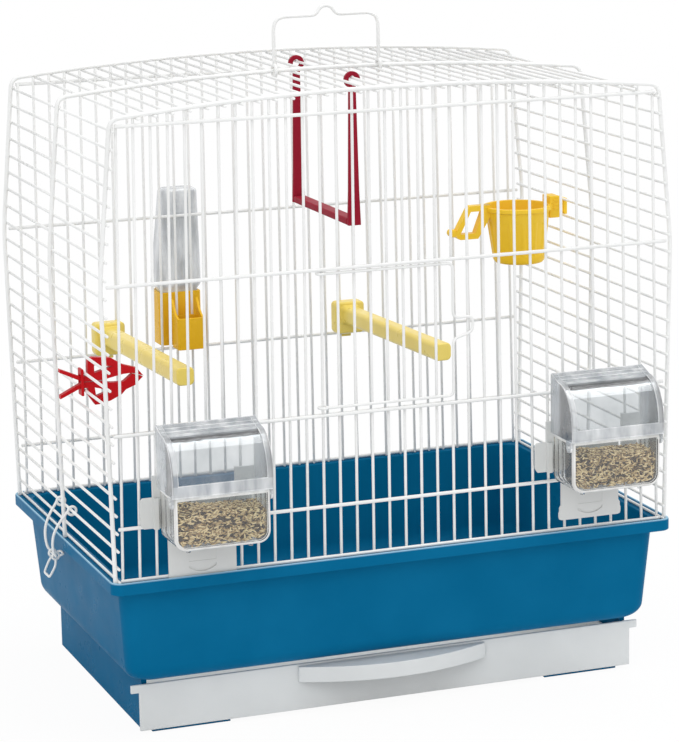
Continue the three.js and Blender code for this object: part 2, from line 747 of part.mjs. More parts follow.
// Feeder station: a white frame clipped to the wires, a sliding shutter behind it,
// and in front a clear bin of seed with a tilting hood
const shutterBack = crossPlane + crossWire / 2 + seat;
const frameBack = shutterBack + shutterSkin + seat;
const frameFront = frameBack + frameSkin;
const binBack = frameFront + seat;
const binFront = binBack + binDepth;
function station(side) {
  const name = side < 0 ? 'left' : 'right';
  const lift = side < 0 ? 0 : stationStep;
  const bottom = stationHeight + lift;
  const middle = side * stationLaneCount * pitchAt(stationHeight + frameHeight / 2);
  const centre = middle + binOffset;
  piece(`feeder_frame_${name}`, feederFrame(bottom, middle, centre), whitePlastic);
  piece(`feeder_shutter_${name}`, feederShutter(hoopFoot + lift, middle), whitePlastic);
  piece(`feeder_bin_${name}`, feederBin(bottom - binDrop, centre), clearPlastic);
  piece(`feeder_hood_${name}`, feederHood(bottom - binDrop, centre), clearPlastic);
  piece(`seed_fill_${name}`, seedFill(bottom - binDrop, centre), seedGrain);
}

function feederFrame(z, middle, centre) {
  const low = centre - frameHalf;
  const high = centre + frameHalf;
  const guide = shutterHalf + seat;
  const plate = block(low, high, -frameFront, -frameBack, z, z + frameHeight);
  const window = block(middle - guide, middle + guide, -frameFront - overrun, -frameBack + overrun,
    z + frameBar, z + frameHeight + overrun);
  const ear = block(low - earReach, low + earReach, -frameFront, -frameBack, z, z + earHeight);
  const parts = [plate.subtract(window), ear];
  for (const s of [-1, 1]) {
    const inner = middle + s * guide;
    parts.push(block(inner, inner + s * frameGuide, -frameBack - weld, -shutterBack, z, z + frameHeight));
    const lane = s * (stationWireCount / 2 + 0.5) * pitchAt(z);
    const clip = middle + lane - s * (fineWire / 2 + 2 * seat);
    parts.push(block(clip, clip - s * frameGuide, -frameBack - weld, -uprightPlane + fineWire / 2 - frameClipDepth / 2,
      z + frameBar, z + frameBar + frameClipLength));
    parts.push(block(clip, clip - s * frameGuide, -shutterBack, -uprightPlane + fineWire / 2,
      z + frameBar, z + frameBar + frameClipLength));
    const wall = centre + s * frameHalf;
    const lipBack = frameFront + binSkin + 2 * seat;
    parts.push(block(wall, wall - s * channelWall, -lipBack - channelWall, -frameFront + weld, z, z + channelHeight));
    parts.push(block(wall, wall - s * channelLip, -lipBack - channelWall, -lipBack, z, z + channelHeight));
  }
  return joined(parts);
}

function feederShutter(z, middle) {
  const plate = block(middle - shutterHalf, middle + shutterHalf,
    -shutterBack - shutterSkin, -shutterBack, z, z + shutterHeight);
  const steps = 6;
  const grip = [];
  for (let i = 0; i <= steps; i += 1) {
    const share = 2 * i / steps - 1;
    grip.push([middle + share * gripHalf, z + gripHeight * (1 + share ** 2) / 2]);
  }
  const band = [...grip, ...grip.map(([x, v]) => [x, v + gripWidth]).reverse()];
  const face = -shutterBack - shutterSkin;
  return plate.subtract(prism('y', band, face - overrun, face + gripDepth));
}

// The bin's front outline, wide at the top with rounded lower corners
function binOutline(centre, z, inset, top) {
  const half = binHalf - inset;
  const radius = binRound - inset;
  const low = z + inset;
  const outline = [[centre + half, top], [centre - half, top]];
  const steps = 3;
  for (const s of [-1, 1]) {
    for (let i = 0; i <= steps; i += 1) {
      const angle = ((s < 0 ? i : steps - i) / steps) * Math.PI / 2;
      outline.push([centre + s * (half - radius + radius * Math.cos(angle)), low + radius - radius * Math.sin(angle)]);
    }
  }
  return outline;
}
function pivotOf(z) {
  return { y: -binFront + pivotInset, z: z + binHeight - pivotInset };
}

function feederBin(z, centre) {
  const top = z + binHeight;
  const shell = prism('y', binOutline(centre, z, 0, top), -binFront, -binBack);
  const hollow = prism('y', binOutline(centre, z, binSkin, top + overrun), -binFront + binSkin, -binBack - binSkin);
  const beak = block(centre - binHalf + binSkin, centre + binHalf - binSkin, -binBack - 2 * binSkin, -binBack + overrun,
    z + binBackHeight, top + overrun);
  const parts = [shell.subtract(hollow).subtract(beak)];
  const flangeFoot = z + binDrop + seat;
  for (const s of [-1, 1]) {
    const wall = centre + s * (binHalf - weld);
    parts.push(block(wall, wall + s * binFlange, -binBack - binSkin, -binBack, flangeFoot, flangeFoot + channelHeight));
    const foot = centre + s * pegHalfSpread;
    parts.push(block(foot - pegSize / 2, foot + pegSize / 2, -binFront + binRound, -binFront + binRound + pegSize,
      z - pegLength, z + weld));
    const pivot = pivotOf(z);
    const reach = binHalf + seat + hoodSkin;
    parts.push(rodAlongX(pivotRadius, pivot.y, pivot.z, ...ordered(wall, centre + s * reach)));
  }
  return joined(parts);
}
function ordered(a, b) {
  return a < b ? [a, b] : [b, a];
}

// The hood's side outline, from the back edge over the curved front to the lower edge
function hoodOutline(z, inset, low) {
  const front = -binFront - hoodOverhang - hoodSkin + inset;
  const back = -binBack - seat;
  const top = z + binHeight + hoodHeight - inset;
  const shoulderY = back - hoodShoulderDepth;
  const shoulderZ = top - hoodShoulderDrop;
  const band = z + binHeight + hoodBandHeight;
  const outline = [[back, low], [back, top]];
  const steps = 4;
  for (let i = 0; i <= steps; i += 1) {
    const angle = (i / steps) * Math.PI / 2;
    outline.push([shoulderY + (front - shoulderY) * Math.sin(angle), band + (shoulderZ - band) * Math.cos(angle)]);
  }
  outline.push([front, low]);
  return outline;
}

function feederHood(z, centre) {
  const low = z + binHeight + seat;
  const inner = binHalf + seat;
  const outer = inner + hoodSkin;
  const shell = prism('x', hoodOutline(z, 0, low), centre - outer, centre + outer);
  const inside = hoodOutline(z, hoodSkin, low - overrun);
  inside[0][0] += overrun;
  inside[1][0] += overrun;
  const hollow = prism('x', inside, centre - inner, centre + inner);
  const pivot = pivotOf(z);
  const ears = [-1, 1].map((s) => {
    const [x0, x1] = ordered(centre + s * inner, centre + s * outer);
    const neck = block(x0, x1, pivot.y - hoodEarRadius, pivot.y + hoodEarRadius, pivot.z, low + weld);
    return rodAlongX(hoodEarRadius, pivot.y, pivot.z, x0, x1, 8).add(neck);
  });
  const bore = rodAlongX(pivotRadius + seat, pivot.y, pivot.z, centre - outer - overrun, centre + outer + overrun);
  return joined([shell.subtract(hollow), ...ears]).subtract(bore);
}

function seedFill(z, centre) {
  const inset = binSkin + seat;
  const outline = binOutline(centre, z, inset, z + binSkin + seedDepth);
  return prism('y', outline, -binFront + inset, -binBack - inset);
}

// Drinker: an upside-down bottle in a base behind the back panel, with a trough inside
const troughX = drinkerLaneCount * pitchAt(crossHeights[1]);
const drinkerX = troughX + drinkerShift;
const drinkerFront = crossPlane + crossWire / 2 + 2 * seat;
const drinkerY = drinkerFront + drinkerDepth / 2;
const drinkerFoot = crossHeights[1] + crossWire / 2 + seat;
const bottleNeckHalfX = drinkerWidth / 2 - drinkerSkin - seat;
const bottleNeckHalfY = drinkerDepth / 2 - drinkerSkin - seat;
const drinkerBaseTop = drinkerFoot + drinkerBaseHeight;
const bottleShoulder = drinkerBaseTop + bottleShoulderRise;
const bottleTop = drinkerBaseTop + bottleRise;
const bottleFoot = drinkerBaseTop - bottleNeckLength;
function drinkerBase() {
  const cup = roundedBlock(drinkerWidth / 2, drinkerDepth / 2, drinkerRound, drinkerFoot, drinkerBaseTop,
    drinkerX, drinkerY);
  const neckHalf = drinkerNeck / 2;
  const troughBack = uprightPlane - fineWire / 2 - 2 * seat;
  const troughY = troughBack - troughDepth / 2;
  const brim = drinkerFoot + troughHeight;
  const trough = roundedBlock(troughWidth / 2, troughDepth / 2, drinkerRound / 2, drinkerFoot, brim, troughX, troughY);
  // The trough's sides rise in a hollow curve towards the wires
  const wingShares = [[1, 1], [0.75, 0.6], [0.5, 0.3], [0.2, 0.08], [0, 0]];
  const wingLine = wingShares.map(([back, up]) => [
    troughY - troughDepth / 2 + drinkerRound / 2 + back * (troughDepth - drinkerRound / 2), brim + up * troughWing,
  ]);
  const wing = [...wingLine, [wingLine[wingLine.length - 1][0], brim - weld], [troughBack, brim - weld]];
  const wings = [-1, 1].map((s) => {
    const edge = troughX + s * troughWidth / 2;
    return prism('x', wing, ...ordered(edge, edge - s * drinkerSkin));
  });
  const neck = block(troughX - neckHalf, troughX + neckHalf, troughBack - weld, drinkerFront + weld,
    drinkerFoot, drinkerFoot + drinkerNeckHeight);
  const floor = drinkerFoot + drinkerSkin;
  const socket = roundedBlock(bottleNeckHalfX + seat, bottleNeckHalfY + seat, drinkerRound - drinkerSkin,
    bottleFoot - seat, drinkerBaseTop + overrun, drinkerX, drinkerY);
  const sump = roundedBlock(bottleNeckHalfX - drinkerSkin, bottleNeckHalfY - drinkerSkin, drinkerRound / 2,
    floor, bottleFoot, drinkerX, drinkerY);
  const pool = block(troughX - troughWidth / 2 + drinkerSkin, troughX + troughWidth / 2 - drinkerSkin,
    troughY - troughDepth / 2 + drinkerSkin, troughBack - drinkerSkin, floor, brim + overrun);
  const duct = block(troughX - neckHalf + drinkerSkin, troughX + neckHalf - drinkerSkin,
    troughBack - drinkerSkin - overrun, drinkerY, floor, floor + drinkerNeckHeight - 2 * drinkerSkin);
  return joined([cup, trough, neck, ...wings]).subtract(joined([socket, sump, pool, duct]));
}

function drinkerBottle() {
  // Its front stands upright beside the wires and its back slopes
  const topX = drinkerX + bottleLean;
  const topY = drinkerY - (bottleDepth - bottleTopDepth) / 2;
  const skin = (inset) => [
    roundedRing(bottleNeckHalfX - inset, bottleNeckHalfY - inset, drinkerRound - drinkerSkin, bottleFoot - 2 * inset,
      drinkerX, drinkerY),
    roundedRing(bottleNeckHalfX - inset, bottleNeckHalfY - inset, drinkerRound - drinkerSkin, drinkerBaseTop,
      drinkerX, drinkerY),
    roundedRing(bottleWidth / 2 - inset, bottleDepth / 2 - inset, bottleRound - inset, bottleShoulder + inset / 2,
      drinkerX, drinkerY),
    roundedRing(bottleTopWidth / 2 - inset, bottleTopDepth / 2 - inset, bottleRound - inset,
      bottleTop - bottleCrown - inset, topX, topY),
    roundedRing(bottleTopWidth / 2 - bottleCrown - inset, bottleTopDepth / 2 - bottleCrown - inset,
      bottleRound - bottleCrown, bottleTop - inset, topX, topY),
  ];
  return loft(skin(0)).subtract(loft(skin(bottleSkin)));
}

// Perches: a stick on a block that hooks over a cross wire of the back panel
const perchBlockBottom = sillHeight + crossWire / 2 + 2 * seat;
function perch(pitches) {
  const lane = pitches * pitchAt(perchBlockBottom);
  const x = lane + perchShift;
  const back = uprightPlane - fineWire / 2 - seat;
  const front = back - perchBlockDepth;
  const top = perchBlockBottom + perchBlockHeight;
  const halfBlock = perchBlock / 2;
  const round = perchBlockRound;
  const outline = [
    [x - halfBlock + round, perchBlockBottom], [x + halfBlock - round, perchBlockBottom],
    [x + halfBlock, perchBlockBottom + round], [x + halfBlock, top - round], [x + halfBlock - round, top],
    [x - halfBlock + round, top], [x - halfBlock, top - round], [x - halfBlock, perchBlockBottom + round],
  ];
  const body = prism('y', outline, front, back);
  const root = perchBlockBottom + perchRootHeight;
  const ring = (half, y, z) => roundedRing(half, half, perchRound, 0, x, z).map((p) => new THREE.Vector3(p.x, y, p.y));
  const tip = front - perchLength;
  const stick = loft([
    ring(perchHalf, front + round, root),
    ring(perchHalf, tip + perchTipRound, root + perchRise),
    ring(perchHalf - perchTipRound / 2, tip, root + perchRise),
  ]);
  const hookBottom = crossHeights[1] + crossWire / 2 + seat;
  const hookOut = crossPlane + crossWire / 2 + seat;
  const arm = block(lane - perchHookWidth / 2, lane + perchHookWidth / 2, back - weld, hookOut + perchHookThickness,
    hookBottom, hookBottom + perchHookThickness);
  const tongue = block(lane - perchHookWidth / 2, lane + perchHookWidth / 2, hookOut, hookOut + perchHookThickness,
    hookBottom - perchHookDrop, hookBottom + weld);
  return joined([body, stick, arm, tongue]);
}

// Swing: two flat straps hooked over the middle roof wire, and a bar let into both
const swingAxis = archAt(0) - longInset;
const swingBottom = swingAxis - swingDrop;
const hookCentre = swingAxis + fineWire / 2 + seat - hookInner;
function swingStrap(y, hand) {
  const outer = hookInner + hookBand;
  const steps = 10;
  const arc = (radius) => {
    const points = [];
    for (let i = 0; i <= steps; i += 1) {
      const angle = -Math.PI / 2 + (i / steps) * hookSweepShare * 2 * Math.PI;
      points.push([hand * radius * Math.cos(angle), hookCentre + radius * Math.sin(angle)]);
    }
    return points;
  };
  const y0 = y - strapThickness / 2;
  const y1 = y + strapThickness / 2;
  const hook = prism('y', [...arc(outer), ...arc(hookInner).reverse()], y0, y1);
  const neck = hookCentre - hookInner - hookBand / 2;
  // How far down the strap, and how far from its top width to its foot width
  const flareShares = [[0, 0], [0.25, 0.2], [0.5, 0.36], [0.75, 0.6], [1, 1]];
  const edge = flareShares.map(([down, wide]) => [
    strapTopHalf + wide * (strapFootHalf - strapTopHalf), neck - down * (neck - swingBottom),
  ]);
  const leg = prism('y', [...edge, ...edge.map(([x, z]) => [-x, z]).reverse()], y0, y1);
  const slot = barHeight / 2 + swingBottom;
  const inner = y - Math.sign(y) * strapThickness / 2;
  const mortise = block(-tenonWidth / 2 - seat, tenonWidth / 2 + seat,
    ...ordered(inner - Math.sign(y) * overrun, inner + Math.sign(y) * mortiseDepth),
    slot - tenonHeight / 2 - seat, slot + tenonHeight / 2 + seat);
  return hook.add(leg).subtract(mortise);
}
function swingBar() {
  const front = swingFront + strapThickness / 2 + seat;
  const back = swingBack - strapThickness / 2 - seat;
  const slot = barHeight / 2 + swingBottom;
  const bar = block(-strapFootHalf, strapFootHalf, front, back, swingBottom, swingBottom + barHeight);
  const reach = mortiseDepth - seat - strapThickness / 2;
  const tenon = block(-tenonWidth / 2, tenonWidth / 2, swingFront - reach, swingBack + reach,
    slot - tenonHeight / 2, slot + tenonHeight / 2);
  return bar.add(tenon);
}

// Treat cup: a tapered cup with a clip through the right wall and a small loop to perch on
function treatCup() {
  const sides = 14;
  const foot = cupTop - cupHeight;
  const ring = (radius, z) => circle(radius, z, cupX + cupFootShift * (cupTop - z) / cupHeight, cupY, sides);
  const outer = loft([
    ring(cupFootRadius - cupFootRound / 2, foot), ring(cupFootRadius, foot + cupFootRound), ring(cupRadius, cupTop),
  ]);
  const rim = loft([ring(cupRadius + cupRim, cupTop - cupRimHeight), ring(cupRadius + cupRim, cupTop)]);
  const inner = loft([
    ring(cupFootRadius - cupFootRound / 2 - cupSkin, foot + cupSkin),
    ring(cupFootRadius - cupSkin, foot + cupFootRound + cupSkin), ring(cupRadius - cupSkin, cupTop + overrun),
  ]);

  const lane = Math.round((cupTop - sideFirst) / sidePitch);
  const wireBelow = sideFirst + (lane - 1) * sidePitch;
  const wireX = hoopHalfAt(wireBelow) - longInset;
  const clipTop = cupTop + cupClipAbove;
  const y0 = cupY - cupClipWidth / 2;
  const y1 = cupY + cupClipWidth / 2;
  const insideFace = wireX - fineWire / 2 - 2 * seat;
  const outsideFace = wireX + fineWire / 2 + 2 * seat;
  const shoe = block(cupX + cupRadius - cupSkin, insideFace, y0, y1, clipTop - cupClipHeight, clipTop);
  const neck = block(insideFace - weld, outsideFace + weld, y0, y1,
    wireBelow + fineWire / 2 + seat, wireBelow + sidePitch - fineWire / 2 - 2 * seat);
  const plateDrop = (cupClipHeight - cupClipPlateHeight) / 2;
  const plate = block(outsideFace, outsideFace + cupClipPlate, y0, y1,
    clipTop - plateDrop - cupClipPlateHeight, clipTop - plateDrop);

  const near = cupX - cupRadius;
  const top = cupTop + loopBand / 2;
  const low = top - loopDrop - loopBand;
  const under = top - 2 * loopBand;
  const loop = [
    [near + cupSkin, top], [near - loopReach + loopSlant, top], [near - loopReach, top - loopDrop],
    [near - loopReach + loopBand / 2, low + loopBand / 4], [near - loopReach + loopBand, low],
    [near - 2 * loopBand, low], [near + cupSkin, under],
  ];
  const ly0 = cupY - loopWidth / 2;
  const ly1 = cupY + loopWidth / 2;
  const stirrup = prism('y', loop, ly0, ly1);
  const gapOutline = [
    [near - loopBand, top - loopBand], [near - loopReach + loopSlant + loopBand / 4, top - loopBand],
    [near - loopReach + loopBand, top - loopDrop], [near - 2.5 * loopBand, top - loopDrop],
  ];
  const hole = prism('y', gapOutline, ly0 - overrun, ly1 + overrun);
  const nubCentre = [near - loopReach - loopNubRadius / 2, top - loopDrop + loopBand / 4];
  const nub = prism('y', circle(loopNubRadius, 0, nubCentre[0], nubCentre[1], 6).map((p) => [p.x, p.y]), ly0, ly1);
  const holder = joined([shoe, neck, plate, stirrup.subtract(hole), nub]).subtract(outer);
  return joined([outer, rim, holder]).subtract(inner);
}

// Greens clip: squeezing the prongs outside the wall opens the jaws inside
const clipZ = sideFirst + (clipWireCount + 1 / 2) * sidePitch;
const clipWireX = -(hoopHalfAt(clipZ) - longInset);
const clipPlateIn = clipWireX - fineWire / 2 - seat;
const clipPlateOut = clipPlateIn - clipPlateThickness;
function clipPlate() {
  const plate = block(clipPlateOut, clipPlateIn, clipY - clipPlateWidth / 2, clipY + clipPlateWidth / 2,
    clipZ - clipPlateHeight / 2, clipZ + clipPlateHeight / 2);
  const across = clipBand / 2 + clipPlay;
  const up = clipNeckHalf + clipPlay;
  return plate.subtract(block(clipPlateOut - overrun, clipPlateIn + overrun, clipY - across, clipY + across,
    clipZ - up, clipZ + up));
}
function clipHalf(s) {
  const root = clipWireX + fineWire / 2 + clipInside;
  const pivot = (clipPlateIn + clipPlateOut) / 2;
  const inner = clipPlay / 2;
  // The jaws' outlines in shares of their length and half height, away from the clip's middle; they meet
  // above the middle, so the lower one rises past it
  const jawShares = s > 0
    ? [[0, 0.6], [0.01, 0.93], [0.1, 1], [0.42, 0.92], [0.64, 0.58], [0.88, 0.4], [1, 0.04], [0.8, 0.2],
      [0.64, 0.19], [0.48, 0.12], [0.29, 0.03]]
    : [[0, 0.57], [0.12, 1], [0.2, 0.99], [0.4, 0.88], [0.6, 0.66], [0.68, 0.47], [0.84, 0.33], [0.94, 0.1], [0.99, 0],
      [0.8, -0.16], [0.64, 0.14], [0.48, 0.13], [0.38, 0.11], [0.29, 0.03]];
  const slotShares = s > 0
    ? [[0.12, 0.34], [0.12, 0.66], [0.46, 0.56]]
    : [[0.12, 0.27], [0.14, 0.65], [0.4, 0.45]];
  const place = ([along, across]) => [root + along * clipJawLength, clipZ + s * across * clipJawHalf];
  const jaw = [[root, clipZ + s * inner], ...jawShares.map(place)];
  const neck = [
    [pivot, clipZ + s * inner], [root + clipPlay, clipZ + s * inner],
    [root + clipPlay, clipZ + s * clipNeckHalf], [pivot, clipZ + s * clipNeckHalf],
  ];
  const tip = pivot - clipProngReach;
  const prong = [
    [pivot + clipPlay, clipZ + s * inner], [pivot + clipPlay, clipZ + s * clipNeckHalf],
    [clipPlateOut - clipPlay, clipZ + s * clipNeckHalf],
    [tip, clipZ + s * (clipProngSpread + clipProngThickness / 2)],
    [tip, clipZ + s * (clipProngSpread - clipProngThickness / 2)],
  ];
  const y0 = clipY - clipBand / 2;
  const y1 = clipY + clipBand / 2;
  const shapes = [jaw, neck, prong].map((outline) => prism('y', outline, y0, y1));
  return joined(shapes).subtract(prism('y', slotShares.map(place), y0 - overrun, y1 + overrun));
}

piece('tray', tray(), bluePlastic);
piece('drawer', drawer(), greyPlastic);
piece('front_grille', panel(-hoopSpacing, true), paintedWire);
piece('back_grille', panel(hoopSpacing, false), paintedWire);
piece('side_grille_left', sidePanel(-1), paintedWire);
piece('side_grille_right', sidePanel(1), paintedWire);
piece('roof_grille', roofPanel(), paintedWire);
piece('main_door', door(), paintedWire);
piece('carry_handle', carryHandle(), paintedWire);
for (const side of [-1, 1]) {
  const name = side < 0 ? 'left' : 'right';
  piece(`clasp_link_${name}`, claspLink(side), paintedWire);
  piece(`clasp_lever_${name}`, claspLever(side), paintedWire);
  station(side);
}
piece('drinker_base', drinkerBase(), yellowPlastic);
piece('drinker_bottle', drinkerBottle(), clearPlastic);
piece('perch_left', perch(perchLaneCounts[0]), yellowPlastic);
piece('perch_right', perch(perchLaneCounts[1]), yellowPlastic);
piece('swing_strap_front', swingStrap(swingFront, -1), darkRedPlastic);
piece('swing_strap_back', swingStrap(swingBack, 1), darkRedPlastic);
piece('swing_bar', swingBar(), darkRedPlastic);
piece('treat_cup', treatCup(), yellowPlastic);
piece('clip_plate', clipPlate(), redPlastic);
piece('clip_jaw_upper', clipHalf(1), redPlastic);
piece('clip_jaw_lower', clipHalf(-1), redPlastic);

export default cage;
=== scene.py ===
"""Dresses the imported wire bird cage: round wires, smooth mouldings, clear feeders, seed, light and camera.

Shapes are worked out in millimetres in the cage's frame and become metres when an object is made.
"""

import math
import random

import bmesh
import bpy
from mathutils import Matrix, Vector


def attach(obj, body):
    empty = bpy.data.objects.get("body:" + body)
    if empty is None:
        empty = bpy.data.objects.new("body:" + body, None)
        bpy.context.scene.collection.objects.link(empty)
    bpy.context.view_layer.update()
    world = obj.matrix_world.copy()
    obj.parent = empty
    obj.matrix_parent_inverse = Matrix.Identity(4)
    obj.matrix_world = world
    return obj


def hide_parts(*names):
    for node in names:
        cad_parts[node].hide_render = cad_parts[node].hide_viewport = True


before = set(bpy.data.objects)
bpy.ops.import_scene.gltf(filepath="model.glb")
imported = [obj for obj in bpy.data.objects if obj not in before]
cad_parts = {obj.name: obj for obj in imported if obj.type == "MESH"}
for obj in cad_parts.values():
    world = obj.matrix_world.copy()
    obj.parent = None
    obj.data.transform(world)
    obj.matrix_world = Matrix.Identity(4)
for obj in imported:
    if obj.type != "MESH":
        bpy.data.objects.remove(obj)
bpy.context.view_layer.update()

MM = 0.001

# The photograph's camera
CAMERA_PLACE = (-674.4, -1840.4, 633.6)
CAMERA_YAW, CAMERA_PITCH, CAMERA_ROLL = 20.27, 12.40, -1.01
FOCAL_PIXELS = 2946.6
PICTURE_HEIGHT = 742
SENSOR = 36
CLIP_NEAR, CLIP_FAR = 0.1, 20

# Light, its places and lengths in metres: the sky, the floor's glow towards the camera and the lamps
# (place, size, watts)
SKY_LIGHT, SKY_TINT = 0.8, (0.97, 0.98, 1, 1)
WHITE_LIGHT = (1, 1, 1, 1)
GLOW_NEAR, GLOW_FAR, GLOW_SHARE = 0.2, 1.0, 0.95
LAMPS = {"key": ((-1.1, -1.3, 1.6), (1.2, 1.2), 8), "top": ((0.75, -0.15, 2.05), (1.7, 1.0), 17)}
LAMP_AIM = (0, 0, 0.2)

# Floor
FLOOR_RADII, FLOOR_DROP, FLOOR_SIDES = (200, 3000), 0.4, 64

# General: the gap between pieces, how deep welded forms sink into each other, how far cutters run over
SEAT = 0.3
WELD = 0.4
OVERRUN = 1
# An eased edge's middle ring, the least round of a corner, and from where a face looks along an axis
EASE_SHARE, LEAST_ROUND, FACING_SHARE = 0.3, 0.3, 0.9
# Points nearer than this are one, and faces within this angle in degrees are flat
MERGE_DISTANCE, FLAT_ANGLE = 0.001, 0.5

# Tray and plinth. The edges are profiles: (outwards, upwards)
RIM_WIDTH, RIM_DEPTH, RIM_TOP = 390, 252, 108.7
RIM_SKIRT, RIM_CORNER, RIM_LEDGE, RIM_SKIN = 8.3, 7, 1.5, 2
WALL_TOP_EDGE = ((0, -1), (0.9, -0.1))
RIM_INSIDE_CORNER, RIM_INSIDE_STEP, RIM_TOP_STEP = RIM_CORNER - 1, 0.4, 0.1
RIM_FILLET, RIM_FILLET_DROP = 0.5, 0.6
# Where the painted highlight along the rim's top edge starts and where it is full, below the rim's top
RIM_HIGHLIGHT_FROM, RIM_HIGHLIGHT_FULL = 1.1, 0.1
SKIRT_EDGE = ((-1.3, 0.1), (-0.9, 0), (-0.35, 0.12), (0, 0.6))
RIM_EDGE = ((0, -1.1), (-0.12, -0.6), (-0.4, -0.2), (-0.75, -0.03), (-1.1, -0.15), (-1.35, -0.6),
            (-1.5, -1.2))
LEDGE_EDGE = ((0.9, 0), (0.25, -0.25), (-0.05, -0.95))
TRAY_WALL, TRAY_STEPS = 2.2, 8
BODY_TOP_WIDTH, BODY_TOP_DEPTH = 375, 237
BODY_LOW_WIDTH, BODY_LOW_DEPTH = 366, 228
BODY_CORNER, BODY_FLOOR, BODY_BOTTOM_ROUND = 11, 36, 12
FLOOR_LEDGE, WELL_CORNER = 9, 3
WELL_EDGE = ((0.6, TRAY_WALL), (0.1, TRAY_WALL - 0.5), (0, TRAY_WALL - 1), (0, 0))
PLINTH_INSET, PLINTH_SHEET, PLINTH_FLANGE, PLINTH_FLANGE_HEIGHT, PLINTH_EDGE = 0.8, 2, 1.4, 3, 0.5
FOOT_TAB_OUTER, FOOT_TAB_INNER, FOOT_TAB_LENGTH = 165, 112, 5

# Drawer. The pan's profile: (inwards, upwards)
DRAWER_FRONT_WIDTH, DRAWER_FRONT_THICKNESS, DRAWER_FRONT_GAP, DRAWER_FRONT_TOP = 348, 2, 1.4, 33.6
DRAWER_SIDE, DRAWER_PAN_HEIGHT, DRAWER_WALL, DRAWER_CORNER = 1.6, 23, 1.8, 5
PAN_OUTSIDE = ((3.5, 0), (2.2, 0.25), (1.0, 1.0), (0.3, 2.4), (0, 4))
PAN_BRIM = ((0, -0.6), (0.5, 0), (1.2, 0), (DRAWER_WALL, -0.7))
PAN_INSIDE = ((0, 6), (0.6, 4), (2.2, 2.4), (4, DRAWER_WALL))
DRAWER_EAR_REACH, DRAWER_EAR_HEIGHT, DRAWER_EDGE = 5.5, 5.5, 0.6
LIP_WIDTH, LIP_BULGE, LIP_HEIGHT, LIP_DROP = 132, 18, 10.5, 1.2
LIP_SKIN, LIP_END_STEP, LIP_EDGE = 1.8, 2.6, 0.55

# Wire body
HOOP_WIRE, CROSS_WIRE, FINE_WIRE = 3, 2.5, 2
DRAWN_SHARE = 0.93
# A wire's domed end: (inwards, radius) in shares of its radius
DOME_SHARES = ((0, 0.45), (0.15, 0.8), (0.5, 1))
HOOP_SPACING, HOOP_SIDES, HOOP_KINK_ROUND, ARCH_STEPS = 120, 12, 12, 12
HOOP_FOOT_HALF, HOOP_WAIST_HALF, HOOP_SHOULDER_HALF = 191.6, 195, 185.6
WAIST_HEIGHT, SHOULDER_HEIGHT, ARCH_RISE, SHOULDER_ROUND = 297, 400.4, 9.6, 7
LOW_CROSS, SILL, TOP_CROSS = 142.5, 202.4, SHOULDER_HEIGHT - 4.4
WIRE_COUNT = 34
TOP_SPREAD, FOOT_SPREAD = 363, 373
SIDE_FIRST, SIDE_PITCH, SIDE_COUNT = RIM_TOP + 8.5, 11.5, 25
ROOF_PITCH, ROOF_HALF_COUNT = 11.2, 15
NUB_LENGTH = 2.2
CROSS_FORWARD = 1
BEAD_RADIUS, BEAD_SQUEEZE_SHARE, BEAD_REACH = 1.25, 0.8, 2

# Door, handle and clasps
DOOR_LANES = 4
DOOR_TOP_GAP, DOOR_FOOT_GAP, DOOR_WIRE, DOOR_FORWARD = 2.8, 4.8, 2, 0.55
DOOR_EYE_CLEARANCE, DOOR_ROUND = 0.5, 4
LATCH_DROP, LATCH_HEIGHT, LATCH_SLANT, LATCH_REACH = 35.7, 12, 4, 2.6
HANDLE_HALF, HANDLE_RISE, HANDLE_PEAK_RISE, HANDLE_PEAK_HALF = 37, 35, 6, 7
HANDLE_WIRE, HANDLE_CORNER, HANDLE_EYE_CLEARANCE = 2.6, 9, 0.4
CLASP_WIRE, CLASP_EYE_HALF, CLASP_EYE_CLEARANCE = 2, 14, 0.4
CLASP_BULGE, CLASP_BAR_HALF, CLASP_BAR_DROP, CLASP_BAR_OUT = 7.8, 7.2, 12.4, 4.6
LINK_ARM_SHARES = ((0, 0), (0.62, 0.26), (0.96, 0.5), (1, 0.72), (0.9, 0.9))
LEVER_WIRE, LEVER_EYE_HALF, LEVER_HALF, LEVER_FOOT_HALF, LEVER_DROP = 1.8, 4.4, 8, 6.8, 13.4
LEVER_LEAN, LEVER_NOSE_IN, LEVER_NOSE_RISE = 5.3, 5.7, 0.8
CLASP_ROUND, LEVER_ROUND = 5, 2.4

# Feeders
STATION_LANES, STATION_WIRES, STATION_STEP, BIN_OFFSET = 12, 4, 8.1, 3.5
FRAME_HALF, FRAME_SKIN, FRAME_BAR, FRAME_HEIGHT, FRAME_EDGE = 36, 1.6, 8, 34, 0.4
FRAME_GUIDE, FRAME_CLIP_LENGTH = 1.5, 14
CHANNEL_WALL, CHANNEL_LIP, CHANNEL_HEIGHT = 1.2, 3, 20
EAR_REACH, EAR_HEIGHT, EAR_FOOT_SLANT, EAR_TOP_SLANT, EAR_EDGE = 8, 20, (2, 3), (1.5, 1.5), 0.35
SHUTTER_HALF, SHUTTER_HEIGHT, SHUTTER_SKIN, SHUTTER_EDGE = 22.5, 53, 1.4, 0.3
SHUTTER_WAIST, SHUTTER_FOOT_HEIGHT, SHUTTER_ROUND, NOTCH_SHARES = 1.6, 10, 2.2, (0.6, 0.85)
GRIP_HALF, GRIP_FOOT, GRIP_SAG, GRIP_TOP, GRIP_DEPTH, GRIP_STEPS = 9, 3, 3, 10, 0.75, 8
BIN_HALF, BIN_DEPTH, BIN_HEIGHT, BIN_DROP, BIN_SKIN = 31.5, 31.5, 34.5, 8.4, 1.6
BIN_ROUND, BIN_EDGE, BIN_INNER_EDGE = 8, 2.0, 0.7
BIN_BACK_HEIGHT, BIN_FLANGE, BIN_FLANGE_HEIGHT = 26, 2.6, 20
PEG_SPREAD, PEG_SIZE, PEG_LENGTH = 20.5, 2.2, 3
